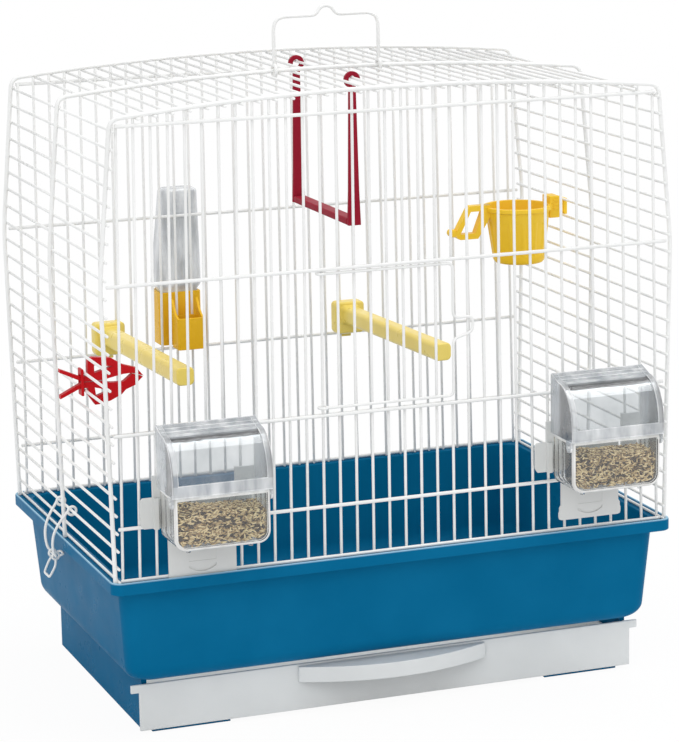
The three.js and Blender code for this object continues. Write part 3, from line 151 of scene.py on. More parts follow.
PIVOT_RADIUS, PIVOT_INSET = 1.5, 3.5
HOOD_SKIN, HOOD_HEIGHT, HOOD_OVERHANG = 1.3, 40.5, 0.9
HOOD_SHOULDER_DEPTH, HOOD_SHOULDER_DROP, HOOD_BAND = 12, 4, 8
HOOD_BORDER, HOOD_RELIEF, HOOD_EAR_RADIUS, HOOD_RIM = 4.2, 0.8, 3.6, (1.8, 1.3)
HOOD_RIDGES = ((0, 1.4), (4.6, 0.9), (8.6, 0.9), (12, 1.6))
RIDGE_DEPTH, RIDGE_SINK, RIDGE_END, BAND_SINK = 1.9, 0.1, 1, 0.5
BORDER_EDGE, RIDGE_EDGE, BAND_EDGE = 0.45, 0.3, 0.4
# Narrow faces count as rounded edges; their haze is a painted highlight along the edges of clear pieces
NARROW_FACE, EDGE_PAINTED_HIGHLIGHT = 0.95, 0.8
BAND_FROST, WALL_FROST, BORDER_FROST, BIN_SIDE_FROST = 0.45, 0.2, 0.3, 0.1

# Seed: the heap, the grains' size, how they turn, and how many lie at each side
SEED_DEPTH, SEED_SLACK, SEED_TOP_DROP, SEED_SWELL = 26, 2.4, 2.2, 0.9
CORE_INSET, CORE_DROP = 1.1, 4.6
GRAIN_LENGTH, GRAIN_WIDTH, GRAIN_SIZE_SHARES, GRAIN_SIDES = 4.1, 1.35, (0.82, 1.08), 5
GRAIN_BELLY_SHARES = ((-0.24, 0.86), (0.2, 0.8))
GRAIN_THICK_SHARE, GRAIN_END_SHARE, GRAIN_PRESS_SHARE, GRAIN_SINK = 0.8, 0.8, 0.35, 0.2
# The grains' tone: its mean and spread, the painted shade from a grain's outer to its inner side, and the
# darkest value
GRAIN_SHADE, GRAIN_SPREAD, GRAIN_PAINTED_SHADE, GRAIN_DARKEST = 0.38, 0.2, 0.95, 0.02
GRAIN_TILT, GRAIN_WANDER, GRAIN_FLAT = 0.55, 0.18, 0.25
SEED_NUMBER = 7
# How the heap's top waves: (share of the swell, radians per mm along X and along Y, start)
SEED_WAVES = ((1, 0.11, 0.07, 0), (0.6, 0.23, -0.17, 2))
# The share left away of the grains that would stick out, and how far from the edges grains lie
LEFT_AWAY_SHARE, SEED_BRIM, SIDE_MARGIN, TOP_MARGIN = 0.9, 0.5, 1, 1.5
BROAD_SUNK, SIDE_SUNK = {-1: 0.9, 1: 0.7}, 0.8
BROAD_COUNTS, SIDE_GRAINS, TOP_GRAINS = {-1: 620, 1: 260}, 260, 560

# Drinker
DRINKER_LANES, DRINKER_SHIFT = -6, -1
DRINKER_WIDTH, DRINKER_DEPTH, DRINKER_BASE_HEIGHT, DRINKER_SKIN, DRINKER_ROUND = 31, 22.5, 38, 1.8, 4
DRINKER_NECK, DRINKER_NECK_HEIGHT, DRINKER_NECK_LIFT, DRINKER_EDGE = 8.2, 17, 0.5, 0.7
TROUGH_WIDTH, TROUGH_DEPTH, TROUGH_HEIGHT, TROUGH_WING = 20, 15.5, 22.5, 12
TROUGH_INNER_ROUND, TROUGH_EDGE, WING_EDGE = 1.2, 0.5, 0.4
WING_SHARES = ((1, 1), (0.88, 0.78), (0.75, 0.6), (0.62, 0.43), (0.5, 0.3), (0.35, 0.17), (0.2, 0.08),
               (0, 0))
BOTTLE_WIDTH, BOTTLE_DEPTH, BOTTLE_SHOULDER = 33, 23, 5
BOTTLE_TOP_WIDTH, BOTTLE_TOP_DEPTH, BOTTLE_LEAN, BOTTLE_RISE = 26, 18, 2, 73.5
BOTTLE_SKIN, BOTTLE_ROUND, BOTTLE_NECK, BOTTLE_NECK_RISE, BOTTLE_CROWN = 1.2, 5, 13, 0.2, 2.4
# How the bottle widens over its shoulder: (share of the widening, above the shoulder)
BOTTLE_WIDENING = ((0.55, -2.2), (0.85, -1.0), (1.0, 1.0))
BOTTLE_ROWS, CROWN_ROWS = 8, 4
FLUTE_PITCH, FLUTE_DEPTH, FLUTE_POINTS = 4.2, 0.5, 192
SHOULDER_FROST = 0.35

# Perches, swing, cup and clip
PERCH_LANES = {"left": -11, "right": 5}
PERCH_BLOCK, PERCH_BLOCK_DEPTH, PERCH_BLOCK_HEIGHT, PERCH_BLOCK_ROUND, PERCH_BLOCK_EDGE = 22, 11, 23, 3, 1.6
PERCH_SHIFT, PERCH_HALF, PERCH_ROUND, PERCH_TIP_ROUND = -2.2, 6, 3.2, 1.5
# How the stick flares into its block: (out of the block, added to its half width)
PERCH_FLARE = ((-PERCH_ROUND, 1.8), (-0.3, 1.5), (0.8, 0.7), (2.2, 0.25), (4.5, 0))
PERCH_LENGTH, PERCH_ROOT_HEIGHT, PERCH_RISE = 175, 13.4, 6.5
PERCH_HOOK_WIDTH, PERCH_HOOK_THICKNESS, PERCH_HOOK_DROP, PERCH_HOOK_EDGE = 8, 2.4, 5, 0.4
SWING_FRONT, SWING_BACK, SWING_DROP = -47, 61, 97.4
STRAP_THICKNESS, STRAP_TOP_HALF, STRAP_FOOT_HALF, STRAP_EDGE = 3, 2.3, 4.5, 0.5
FLARE_SHARES = ((0, 0), (0.25, 0.2), (0.5, 0.36), (0.75, 0.6), (1, 1))
HOOK_INNER, HOOK_BAND, HOOK_SWEEP, HOOK_STEPS = 2.6, 2.9, 0.78, 28
BAR_HEIGHT, MORTISE_DEPTH, TENON_WIDTH, TENON_HEIGHT, BAR_EDGE, TENON_EDGE = 4.6, 2, 5, 2, 1.0, 0.25
CUP_X, CUP_Y, CUP_TOP, CUP_HEIGHT = 160.8, 52, 298, 40.6
CUP_RADIUS, CUP_FOOT_RADIUS, CUP_FOOT_SHIFT, CUP_SKIN = 23.3, 18.7, 1.3, 1.7
CUP_RIM, CUP_FOOT_ROUND, CUP_FOOT_STEPS, CUP_RIBS, CUP_RIB_DEPTH, CUP_RIB_SIDES = 1.2, 5, 5, 14, 0.9, 14
CUP_RIB_FAINT, CUP_RIBS_START, CUP_RIBS_END, CUP_RIBS_FADE, CUP_NECK_DROP = 0.1, 6.5, 9.5, 1.5, 3.6
CUP_CLEAR_LIFT, CUP_NECK_INSET = 0.5, 1
CUP_RIM_EDGE = ((0.5, -3.3), (1.0, -3.0), (CUP_RIM, -2.6), (CUP_RIM, -0.6), (CUP_RIM - 0.3, -0.15),
                (0.7, 0), (0.5 - CUP_SKIN, 0), (-CUP_SKIN, -0.6))
CUP_CLIP_WIDTH, CUP_CLIP_HEIGHT, CUP_CLIP_ABOVE = 13, 15.6, 5.3
CUP_CLIP_PLATE, CUP_CLIP_PLATE_HEIGHT, CUP_CLIP_EDGE, CUP_PLATE_EDGE = 2.6, 11.6, 0.7, 0.6
CUP_CLIP_RIDGES, CUP_RIDGE_START, CUP_RIDGE_OUT, CUP_RIDGE_HEIGHT = (3.4, 6.4, 9.4), 2, 0.6, 1.1
LOOP_BAND, LOOP_WIDTH, LOOP_REACH, LOOP_DROP = 4, 6.5, 25.5, 19.5
LOOP_SLANT, LOOP_NUB, LOOP_EDGE = 11, 2.8, 0.7
CLIP_Y, CLIP_WIRES, CLIP_BAND = -63.4, 9, 4
CLIP_PLATE_HEIGHT, CLIP_PLATE_THICKNESS, CLIP_PLATE_WIDTH, CLIP_PLATE_EDGE = 17.4, 1.8, 8.2, 0.5
CLIP_PRONG_REACH, CLIP_PRONG_SPREAD, CLIP_PRONG_THICKNESS = 14.3, 8.6, 2.3
CLIP_NECK_HALF, CLIP_PLAY, CLIP_INSIDE = 4, 0.5, 0.8
CLIP_JAW_LENGTH, CLIP_JAW_HALF, CLIP_JAW_EDGE = 36.9, 15.5, 0.55
# The jaws' outlines in shares of their length and half height, away from the clip's middle
UPPER_JAW_SHARES = ((0, 0.6), (0.01, 0.93), (0.1, 1), (0.42, 0.92), (0.64, 0.58), (0.88, 0.4), (1, 0.04),
                    (0.8, 0.2), (0.64, 0.19), (0.48, 0.12), (0.29, 0.03))
LOWER_JAW_SHARES = ((0, 0.57), (0.12, 1), (0.2, 0.99), (0.4, 0.88), (0.6, 0.66), (0.68, 0.47), (0.84, 0.33),
                    (0.94, 0.1), (0.99, 0), (0.8, -0.16), (0.64, 0.14), (0.48, 0.13), (0.38, 0.11),
                    (0.29, 0.03))
UPPER_SLOT_SHARES = ((0.12, 0.34), (0.12, 0.66), (0.46, 0.56))
LOWER_SLOT_SHARES = ((0.12, 0.27), (0.14, 0.65), (0.4, 0.45))


# Parts: (points, faces) in millimetres

def merged(parts):
    points, faces = [], []
    for part_points, part_faces in parts:
        start = len(points)
        points.extend(part_points)
        faces.extend([tuple(i + start for i in face) for face in part_faces])
    return points, faces


def loft(rings, wrap=False):
    """Rings of points joined by side faces, closed at both ends or joined end to end."""
    count, total = len(rings[0]), len(rings)
    points = [tuple(p) for ring in rings for p in ring]
    faces = []
    for r in range(total if wrap else total - 1):
        low, high = r * count, (r + 1) % total * count
        for i in range(count):
            j = (i + 1) % count
            faces.append((low + i, low + j, high + j, high + i))
    if not wrap:
        faces.append(tuple(reversed(range(count))))
        faces.append(tuple(range((total - 1) * count, total * count)))
    return points, faces


def tube(points, radius, sides=10, closed=False, domed=True):
    """A round wire along a line of points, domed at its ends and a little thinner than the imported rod."""
    radius *= DRAWN_SHARE
    line = [Vector(p) for p in points]
    count = len(line)
    along = []
    for i in range(count):
        if closed:
            along.append((line[(i + 1) % count] - line[i - 1]).normalized())
        else:
            behind = (line[i] - line[i - 1]).normalized() if i else Vector()
            ahead = (line[i + 1] - line[i]).normalized() if i + 1 < count else Vector()
            along.append((behind + ahead).normalized())
    across = along[0].orthogonal().normalized()
    stations = []
    for i, knot in enumerate(line):
        if i:
            across = along[i - 1].rotation_difference(along[i]) @ across
        stations.append((knot, along[i], across.copy(), radius))
    if closed:
        twist = along[-1].rotation_difference(along[0]) @ across
        turn = math.atan2(twist.cross(stations[0][2]).dot(along[0]), twist.dot(stations[0][2]))
        for i, (knot, way, side, r) in enumerate(stations):
            stations[i] = (knot, way, Matrix.Rotation(turn * i / count, 3, way) @ side, r)
    elif domed:
        first, last = stations[0], stations[-1]
        head = [(first[0] + first[1] * radius * d, first[1], first[2], radius * r) for d, r in DOME_SHARES]
        tail = [(last[0] - last[1] * radius * d, last[1], last[2], radius * r)
                for d, r in reversed(DOME_SHARES)]
        stations = head + stations[1:-1] + tail
    rings = []
    for knot, way, side, r in stations:
        other = way.cross(side)
        rings.append([knot + (side * math.cos(a) + other * math.sin(a)) * r
                      for a in (2 * math.pi * i / sides for i in range(sides))])
    return loft(rings, wrap=closed)


def filleted(points, radius, steps=6):
    """Replaces each inner corner of a line of points by an arc."""
    line = [Vector(p) for p in points]
    out = [line[0]]
    for i in range(1, len(line) - 1):
        back, on = line[i - 1] - line[i], line[i + 1] - line[i]
        reach = min(radius, back.length / 2, on.length / 2)
        start, end = line[i] + back.normalized() * reach, line[i] + on.normalized() * reach
        for k in range(steps + 1):
            t = k / steps
            out.append(start * (1 - t) ** 2 + line[i] * 2 * t * (1 - t) + end * t ** 2)
    out.append(line[-1])
    return out


def eye(axis, x, y, z, hole, diameter, turns=18):
    """A ring of wire round an axis."""
    radius = hole + diameter / 2
    points = []
    for i in range(turns):
        u, v = radius * math.cos(2 * math.pi * i / turns), radius * math.sin(2 * math.pi * i / turns)
        points.append({"x": (x, y + u, z + v), "y": (x + v, y, z + u), "z": (x + u, y + v, z)}[axis])
    return tube(points, diameter / 2, 8, closed=True)


def hole_over(wire, clearance):
    """The radius of an eye that turns on a packed rod of four sides."""
    return wire / 2 * math.sqrt(2) + clearance


def rounded_ring(half_x, half_y, radius, z, x=0, y=0, steps=6):
    ring = []
    for sx, sy, quarter in ((1, 1, 0), (-1, 1, 1), (-1, -1, 2), (1, -1, 3)):
        for i in range(steps + 1):
            angle = (quarter + i / steps) * math.pi / 2
            ring.append((x + sx * (half_x - radius) + radius * math.cos(angle),
                         y + sy * (half_y - radius) + radius * math.sin(angle), z))
    return ring


AXES = {"x": lambda u, v, w: (w, u, v), "y": lambda u, v, w: (u, w, v), "z": lambda u, v, w: (u, v, w)}


def prism(axis, outline, start, end):
    """An outline drawn across an axis, carried along it."""
    start, end = sorted((start, end))
    return facing_out(loft([[AXES[axis](u, v, w) for u, v in outline] for w in (start, end)]))


def rod(axis, radius, u, v, start, end, sides=16):
    """A round bar along an axis, with its middle at u and v."""
    turns = [2 * math.pi * i / sides for i in range(sides)]
    return prism(axis, [(u + radius * math.cos(a), v + radius * math.sin(a)) for a in turns], start, end)


def block(x0, x1, y0, y1, z0, z1):
    """A box between two values on each axis, given in either order."""
    x0, x1 = sorted((x0, x1))
    y0, y1 = sorted((y0, y1))
    return prism("z", [(x0, y0), (x1, y0), (x1, y1), (x0, y1)], z0, z1)


def span(middle, half):
    """Both ends of a length about its middle."""
    return middle - half, middle + half


def to_bmesh(part):
    points, faces = part
    mesh = bmesh.new()
    corners = [mesh.verts.new(p) for p in points]
    for face in faces:
        mesh.faces.new([corners[i] for i in face])
    return mesh


def from_bmesh(mesh):
    mesh.verts.index_update()
    part = ([tuple(v.co) for v in mesh.verts], [tuple(v.index for v in f.verts) for f in mesh.faces])
    mesh.free()
    return part


def facing_out(part):
    mesh = to_bmesh(part)
    bmesh.ops.recalc_face_normals(mesh, faces=mesh.faces)
    return from_bmesh(mesh)


def combined(operation, base, others):
    """A boolean of closed parts."""
    made = []
    for points, faces in [base, *others]:
        mesh = bpy.data.meshes.new("part")
        mesh.from_pydata(points, [], faces)
        thing = bpy.data.objects.new("part", mesh)
        bpy.context.scene.collection.objects.link(thing)
        made.append(thing)
    for tool in made[1:]:
        step = made[0].modifiers.new("step", "BOOLEAN")
        step.operation, step.solver, step.object = operation, "EXACT", tool
    result = made[0].evaluated_get(bpy.context.evaluated_depsgraph_get()).to_mesh()
    part = ([tuple(v.co) for v in result.vertices], [tuple(p.vertices) for p in result.polygons])
    for thing in made:
        mesh = thing.data
        bpy.data.objects.remove(thing)
        bpy.data.meshes.remove(mesh)
    return part


def cut(base, *tools):
    return combined("DIFFERENCE", base, tools)


def fused(base, *others):
    return combined("UNION", base, others)


def softened(part, width, segments=2, angle=30):
    """Rounds the edges that are sharper than an angle."""
    mesh = to_bmesh(part)
    bmesh.ops.remove_doubles(mesh, verts=mesh.verts, dist=MERGE_DISTANCE)
    bmesh.ops.dissolve_limit(mesh, angle_limit=math.radians(FLAT_ANGLE), verts=mesh.verts, edges=mesh.edges)
    edges = [e for e in mesh.edges if len(e.link_faces) == 2 and e.calc_face_angle() > math.radians(angle)]
    bmesh.ops.bevel(mesh, geom=edges, offset=width, segments=segments, profile=0.5, affect="EDGES",
                    clamp_overlap=True, miter_outer="ARC")
    return from_bmesh(mesh)


def placed(name, part, material):
    """Makes a part into an object of the scene."""
    points, faces = part
    mesh = bpy.data.meshes.new(name)
    mesh.from_pydata([tuple(c * MM for c in p) for p in points], [], faces)
    mesh.materials.append(material)
    thing = bpy.data.objects.new(name, mesh)
    bpy.context.scene.collection.objects.link(thing)
    return thing


def show(name, part, material, body, node, sharp=40, weighted=True):
    """Makes a part into an object that rides on a body and stands for a CAD node."""
    thing = placed(name, part, material)
    thing.data.validate()
    thing.data.shade_smooth()
    thing.data.set_sharp_from_angle(angle=math.radians(sharp))
    if weighted:
        thing.modifiers.new("normals", "WEIGHTED_NORMAL").keep_sharp = True
    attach(thing, body)
    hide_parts(node)
    return thing


# Materials

def linear(hex_colour):
    channels = [int(hex_colour[i:i + 2], 16) / 255 for i in (0, 2, 4)]
    return [c / 12.92 if c <= 0.04045 else ((c + 0.055) / 1.055) ** 2.4 for c in channels] + [1]


class Nodes:
    """A short way to write the node tree of a material or a world."""

    def __init__(self, owner):
        self.owner = owner
        owner.use_nodes = True
        self.tree = owner.node_tree
        self.tree.nodes.clear()

    def add(self, kind, values=None, **settings):
        node = self.tree.nodes.new(kind)
        for key, value in settings.items():
            setattr(node, key, value)
        for key, value in (values or {}).items():
            if isinstance(value, bpy.types.NodeSocket):
                self.tree.links.new(value, node.inputs[key])
            else:
                node.inputs[key].default_value = value
        return node

    def place(self):
        return self.add("ShaderNodeTexCoord").outputs["Object"]

    def noise(self, scale, detail=3, stretch=(1, 1, 1)):
        where = self.add("ShaderNodeMapping", {"Vector": self.place(), "Scale": stretch}).outputs[0]
        values = {"Vector": where, "Scale": scale, "Detail": detail}
        return self.add("ShaderNodeTexNoise", values).outputs[0]

    def ramp(self, factor, *stops):
        node = self.add("ShaderNodeValToRGB", {"Fac": factor})
        ramp = node.color_ramp
        while len(ramp.elements) < len(stops):
            ramp.elements.new(0.5)
        for element, (place, colour) in zip(ramp.elements, stops):
            element.position, element.color = place, linear(colour)
        return node.outputs[0]

    def between(self, factor, low, high):
        return self.add("ShaderNodeMapRange", {"Value": factor, "From Min": 0.3, "From Max": 0.7,
                                               "To Min": low, "To Max": high}).outputs[0]

    def math(self, operation, first, second):
        return self.add("ShaderNodeMath", {0: first, 1: second}, operation=operation).outputs[0]

    def mix(self, share, first, second):
        return self.add("ShaderNodeMixShader", {0: share, 1: first, 2: second}).outputs[0]

    def bump(self, height, strength, distance, normal=None):
        values = {"Height": height, "Strength": strength, "Distance": distance * MM}
        if normal:
            values["Normal"] = normal
        return self.add("ShaderNodeBump", values).outputs[0]

    def finish(self, shader, output="ShaderNodeOutputMaterial"):
        self.add(output, {"Surface": shader})
        return self.owner


def moulded(name, dark, light, rough, gloss, grain=1500, grain_depth=0.02, waves=0.3, crest=None):
    """Moulded plastic: a faint flow of colour, a fine skin, slow waves, perhaps a painted highlight: a paler
    colour above a height.
    """
    n = Nodes(bpy.data.materials.new(name))
    colour = n.ramp(n.noise(18, 4), (0.32, dark), (0.68, light))
    # A paler colour above a given height: a painted highlight along the top edge
    if crest:
        low, high, pale = crest
        height = n.add("ShaderNodeSeparateXYZ", {0: n.place()}).outputs["Z"]
        share = n.add("ShaderNodeMapRange", {"Value": height, "From Min": low * MM, "From Max": high * MM})
        mixed = n.add("ShaderNodeMix", {0: share.outputs[0], 6: colour, 7: linear(pale)}, data_type="RGBA")
        colour = mixed.outputs[2]
    skin = n.bump(n.noise(grain, 2), 0.35, grain_depth)
    normal = n.bump(n.noise(9, 1), waves, 0.6, skin)
    shader = n.add("ShaderNodeBsdfPrincipled", {
        "Base Color": colour, "Roughness": n.between(n.noise(55, 4), *rough), "Normal": normal,
        "Specular IOR Level": gloss})
    return n.finish(shader.outputs[0])


def clear(name, tint, haze, base, streaks, rough, shine):
    """Clear moulded plastic: mostly see-through, a gloss on top, a pale haze where it is frosted, and more
    haze seen edge-on, a painted sheen.
    """
    n = Nodes(bpy.data.materials.new(name))
    skin = n.bump(n.noise(700, 2), 0.2, 0.02)
    normal = n.bump(n.noise(60, 3), 0.4, 0.2, skin)
    see_through = n.ramp(n.noise(30, 3), (0.3, tint[0]), (0.7, tint[1]))
    passing = n.add("ShaderNodeBsdfTransparent", {"Color": see_through}).outputs[0]
    pale = n.ramp(n.noise(120, 4, (1, 1, 0.25)), (0.35, haze[0]), (0.65, haze[1]))
    body = n.add("ShaderNodeBsdfPrincipled", {
        "Base Color": pale, "Roughness": 0.4, "Normal": normal}).outputs[0]
    gloss = n.add("ShaderNodeBsdfGlossy", {
        "Color": (0.95, 0.96, 0.97, 1), "Roughness": rough, "Normal": normal}).outputs[0]
    frost = n.add("ShaderNodeAttribute", attribute_name="frost").outputs["Fac"]
    streak = n.between(n.noise(90, 4, (1, 1, 0.2)), base, base + streaks)
    # The haze grows where the surface is seen edge-on, a painted sheen
    facing = n.add("ShaderNodeLayerWeight", {"Blend": 0.25, "Normal": normal}).outputs["Facing"]
    cloudy = n.math("ADD", n.math("ADD", streak, frost), n.math("MULTIPLY", facing, 0.2))
    fresnel = n.add("ShaderNodeFresnel", {"IOR": 1.4, "Normal": normal}).outputs[0]
    shiny = n.mix(n.math("ADD", fresnel, shine), n.mix(cloudy, passing, body), gloss)
    # The lamps and the light between surfaces pass, so that what the piece holds is lit
    path = n.add("ShaderNodeLightPath").outputs
    light_ray = n.math("MAXIMUM", path["Is Shadow Ray"], path["Is Diffuse Ray"])
    return n.finish(n.mix(light_ray, shiny, passing))


def grains(name):
    """Husked seed: each grain has its own tone, darker on its inner side as painted shade, and a fine
    mottle.
    """
    n = Nodes(bpy.data.materials.new(name))
    # Each point's tone with its painted shade, from the seed heap
    shade = n.add("ShaderNodeAttribute", attribute_name="shade").outputs["Fac"]
    both = n.math("ADD", shade, n.math("MULTIPLY", n.noise(900, 3), 0.35))
    colour = n.ramp(both, (0.12, "241709"), (0.4, "5f4627"), (0.7, "aa8c57"), (1.0, "e4cf9f"))
    skin = n.bump(n.noise(2200, 2), 0.5, 0.08)
    shader = n.add("ShaderNodeBsdfPrincipled", {
        "Base Color": colour, "Roughness": n.between(n.noise(400, 2), 0.45, 0.75), "Normal": skin})
    return n.finish(shader.outputs[0])


PAINT = moulded("wire_paint", "e9e9e7", "f2f2f0", (0.22, 0.38), 0.4, 2600, 0.03, 0.0)
# The tray's rim top turns pale blue, a painted highlight along its edge
BLUE = moulded("tray_blue", "04638d", "0a6a95", (0.26, 0.36), 0.017, 1500, 0.012, 0.12,
               crest=(RIM_TOP - RIM_HIGHLIGHT_FROM, RIM_TOP - RIM_HIGHLIGHT_FULL, "a8cfe4"))
GREY = moulded("drawer_grey", "d8dad9", "e0e2e1", (0.35, 0.5), 0.3, 1300)
WHITE = moulded("feeder_white", "d0d1cf", "dadbd9", (0.35, 0.5), 0.3)
YELLOW = moulded("cup_yellow", "f4c42a", "fad03e", (0.3, 0.42), 0.15)
LEMON = moulded("perch_yellow", "edd25e", "f3db72", (0.25, 0.36), 0.4)
AMBER = moulded("drinker_yellow", "ebb41e", "f3c232", (0.22, 0.35), 0.1)
DARK_RED = moulded("swing_red", "8e1a2c", "9b2234", (0.32, 0.45), 0.04)
RED = moulded("clip_red", "b80f18", "c81a20", (0.25, 0.38), 0.08)
HOOD_CLEAR = clear("hood_clear", ("dfe2e3", "eceeef"), ("b8bbbe", "f3f3f3"), 0.05, 0.1, 0.07, 0.025)
BIN_CLEAR = clear("bin_clear", ("f8fafa", "fdfdfd"), ("e2dfda", "fbfaf7"), 0.01, 0.02, 0.07, 0)
BOTTLE = clear("bottle_clear", ("e6e8ea", "f2f3f4"), ("b4b7ba", "eceeef"), 0.09, 0.14, 0.1, 0.04)
SEED = grains("seed_grains")


# Wire body

ARCH_HEIGHT = SHOULDER_HEIGHT + ARCH_RISE
LONG_INSET = HOOP_WIRE / 2 + FINE_WIRE / 2 - WELD
HOOP_FOOT = RIM_TOP - RIM_LEDGE + SEAT
FOOT_HEIGHT = HOOP_FOOT + CROSS_WIRE / 2
CROSS_HEIGHTS = (FOOT_HEIGHT, LOW_CROSS, SILL, WAIST_HEIGHT, TOP_CROSS)
CROSS_PLANE = HOOP_SPACING + CROSS_FORWARD
UPRIGHT_PLANE = CROSS_PLANE - CROSS_WIRE / 2 - FINE_WIRE / 2 + WELD
LONG_HALF = HOOP_SPACING + HOOP_WIRE / 2 + NUB_LENGTH
HOOP_PLACES = (-HOOP_SPACING, 0, HOOP_SPACING)
ROOF_JOIN = SIDE_FIRST + (SIDE_COUNT - 1.5) * SIDE_PITCH
LANES = [i - (WIRE_COUNT - 1) / 2 for i in range(WIRE_COUNT)]
BEAD_OUT = (FINE_WIRE - WELD) / 2


def hoop_half_at(z):
    """Half the cage's width at a height: out to the waist and in again to the shoulder."""
    low = RIM_TOP - RIM_LEDGE
    if z < WAIST_HEIGHT:
        share, ends = (z - low) / (WAIST_HEIGHT - low), (HOOP_FOOT_HALF, HOOP_WAIST_HALF)
    else:
        share = (z - WAIST_HEIGHT) / (SHOULDER_HEIGHT - WAIST_HEIGHT)
        ends = (HOOP_WAIST_HALF, HOOP_SHOULDER_HALF)
    return ends[0] + share * (ends[1] - ends[0])


def arch_at(x):
    return ARCH_HEIGHT - ARCH_RISE * (x / HOOP_SHOULDER_HALF) ** 2


def pitch_at(z):
    spread = TOP_SPREAD + (FOOT_SPREAD - TOP_SPREAD) * (TOP_CROSS - z) / (TOP_CROSS - FOOT_HEIGHT)
    return spread / (WIRE_COUNT - 1)


def unit_ball():
    mesh = bmesh.new()
    bmesh.ops.create_icosphere(mesh, subdivisions=1, radius=1)
    return from_bmesh(mesh)


BALL = unit_ball()


def bead(x, y, z):
    """The small swelling of paint where two wires are welded."""
    across = BEAD_RADIUS * BEAD_SQUEEZE_SHARE
    return [(x + across * a, y + across * b, z + BEAD_RADIUS * c) for a, b, c in BALL[0]], BALL[1]


def upright(lane, y, z0, z1):
    return tube([(lane * pitch_at(z), y, z) for z in (z0, z1)], FINE_WIRE / 2)


def panel(side, has_openings):
    """The front or back panel. The front's wires stop at the doorway and at the feeders' windows."""
    parts = []
    for z in CROSS_HEIGHTS:
        half = hoop_half_at(z) - LONG_INSET - FINE_WIRE / 2 - SEAT
        parts.append(tube([(-half, side * CROSS_PLANE, z), (half, side * CROSS_PLANE, z)], CROSS_WIRE / 2))
    touch = side * (CROSS_PLANE - CROSS_WIRE / 2 + WELD / 2)
    for lane in LANES:
        x = abs(lane) * pitch_at(TOP_CROSS) + FINE_WIRE / 2
        in_bend = x > HOOP_SHOULDER_HALF - SHOULDER_ROUND
        top = TOP_CROSS + CROSS_WIRE / 2 if in_bend else arch_at(x) - HOOP_WIRE / 2 + WELD
        spans = [(HOOP_FOOT, top)]
        if has_openings and abs(lane) < DOOR_LANES:
            spans = [(HOOP_FOOT, SILL + CROSS_WIRE / 2), (WAIST_HEIGHT - CROSS_WIRE / 2, top)]
        elif has_openings and abs(abs(lane) - STATION_LANES) < STATION_WIRES / 2:
            spans = [(HOOP_FOOT, LOW_CROSS + CROSS_WIRE / 2), (SILL - CROSS_WIRE / 2, top)]
        for z0, z1 in spans:
            parts.append(upright(lane, side * UPRIGHT_PLANE, z0, z1))
            crossed = [z for z in CROSS_HEIGHTS if z0 - BEAD_REACH < z < z1 + BEAD_REACH]
            parts.extend(bead(lane * pitch_at(z), touch, z) for z in crossed)
    return merged(parts)


def hoops(line):
    return [tube([(p.x, y, p.z) for p in line], HOOP_WIRE / 2, HOOP_SIDES, domed=False)
            for y in HOOP_PLACES]


def long_wire(x, z, out_x, out_z):
    """A wire from front to back under the hoops, with a weld at each."""
    beads = [bead(x + out_x * BEAD_OUT, y, z + out_z * BEAD_OUT) for y in HOOP_PLACES]
    return [tube([(x, -LONG_HALF, z), (x, LONG_HALF, z)], FINE_WIRE / 2), *beads]


def side_panel(side):
    legs = [(side * hoop_half_at(z), 0, z) for z in (HOOP_FOOT, WAIST_HEIGHT, ROOF_JOIN)]
    parts = hoops(filleted(legs, HOOP_KINK_ROUND))
    for z in [HOOP_FOOT + FINE_WIRE / 2] + [SIDE_FIRST + i * SIDE_PITCH for i in range(SIDE_COUNT - 1)]:
        parts += long_wire(side * (hoop_half_at(z) - LONG_INSET), z, side, 0)
    return merged(parts)


def roof_panel():
    bend_in = HOOP_SHOULDER_HALF - 2 * SHOULDER_ROUND
    corner = filleted([(-hoop_half_at(ROOF_JOIN), 0, ROOF_JOIN), (-HOOP_SHOULDER_HALF, 0, SHOULDER_HEIGHT),
                       (-bend_in, 0, arch_at(bend_in))], SHOULDER_ROUND, 8)
    places = [bend_in * (i / ARCH_STEPS - 1) for i in range(1, 2 * ARCH_STEPS)]
    arch = [Vector((x, 0, arch_at(x))) for x in places]
    parts = hoops(corner + arch + [Vector((-p.x, 0, p.z)) for p in reversed(corner)])
    for i in range(-ROOF_HALF_COUNT, ROOF_HALF_COUNT + 1):
        parts += long_wire(i * ROOF_PITCH, arch_at(i * ROOF_PITCH) - LONG_INSET, 0, 1)
    corner_z = SIDE_FIRST + (SIDE_COUNT - 1) * SIDE_PITCH
    for side in (-1, 1):
        parts += long_wire(side * (hoop_half_at(corner_z) - LONG_INSET), corner_z, 0, 1)
    return merged(parts)


def wire_piece(name, part, body, node):
    show(name, part, PAINT, body, node, sharp=70, weighted=False)


wire_piece("wires_front", panel(-1, True), "cage", "front_grille")
wire_piece("wires_back", panel(1, False), "cage", "back_grille")
wire_piece("wires_left", side_panel(-1), "cage", "side_grille_left")
wire_piece("wires_right", side_panel(1), "cage", "side_grille_right")
wire_piece("wires_roof", roof_panel(), "cage", "roof_grille")


# Door, handle and clasps

DOOR_TOP, DOOR_BOTTOM = WAIST_HEIGHT - DOOR_TOP_GAP, SILL + DOOR_FOOT_GAP
DOOR_MIDDLE = (DOOR_TOP + DOOR_BOTTOM) / 2
LATCH_TOP = DOOR_TOP - LATCH_DROP
LATCH_BOTTOM = LATCH_TOP - LATCH_HEIGHT


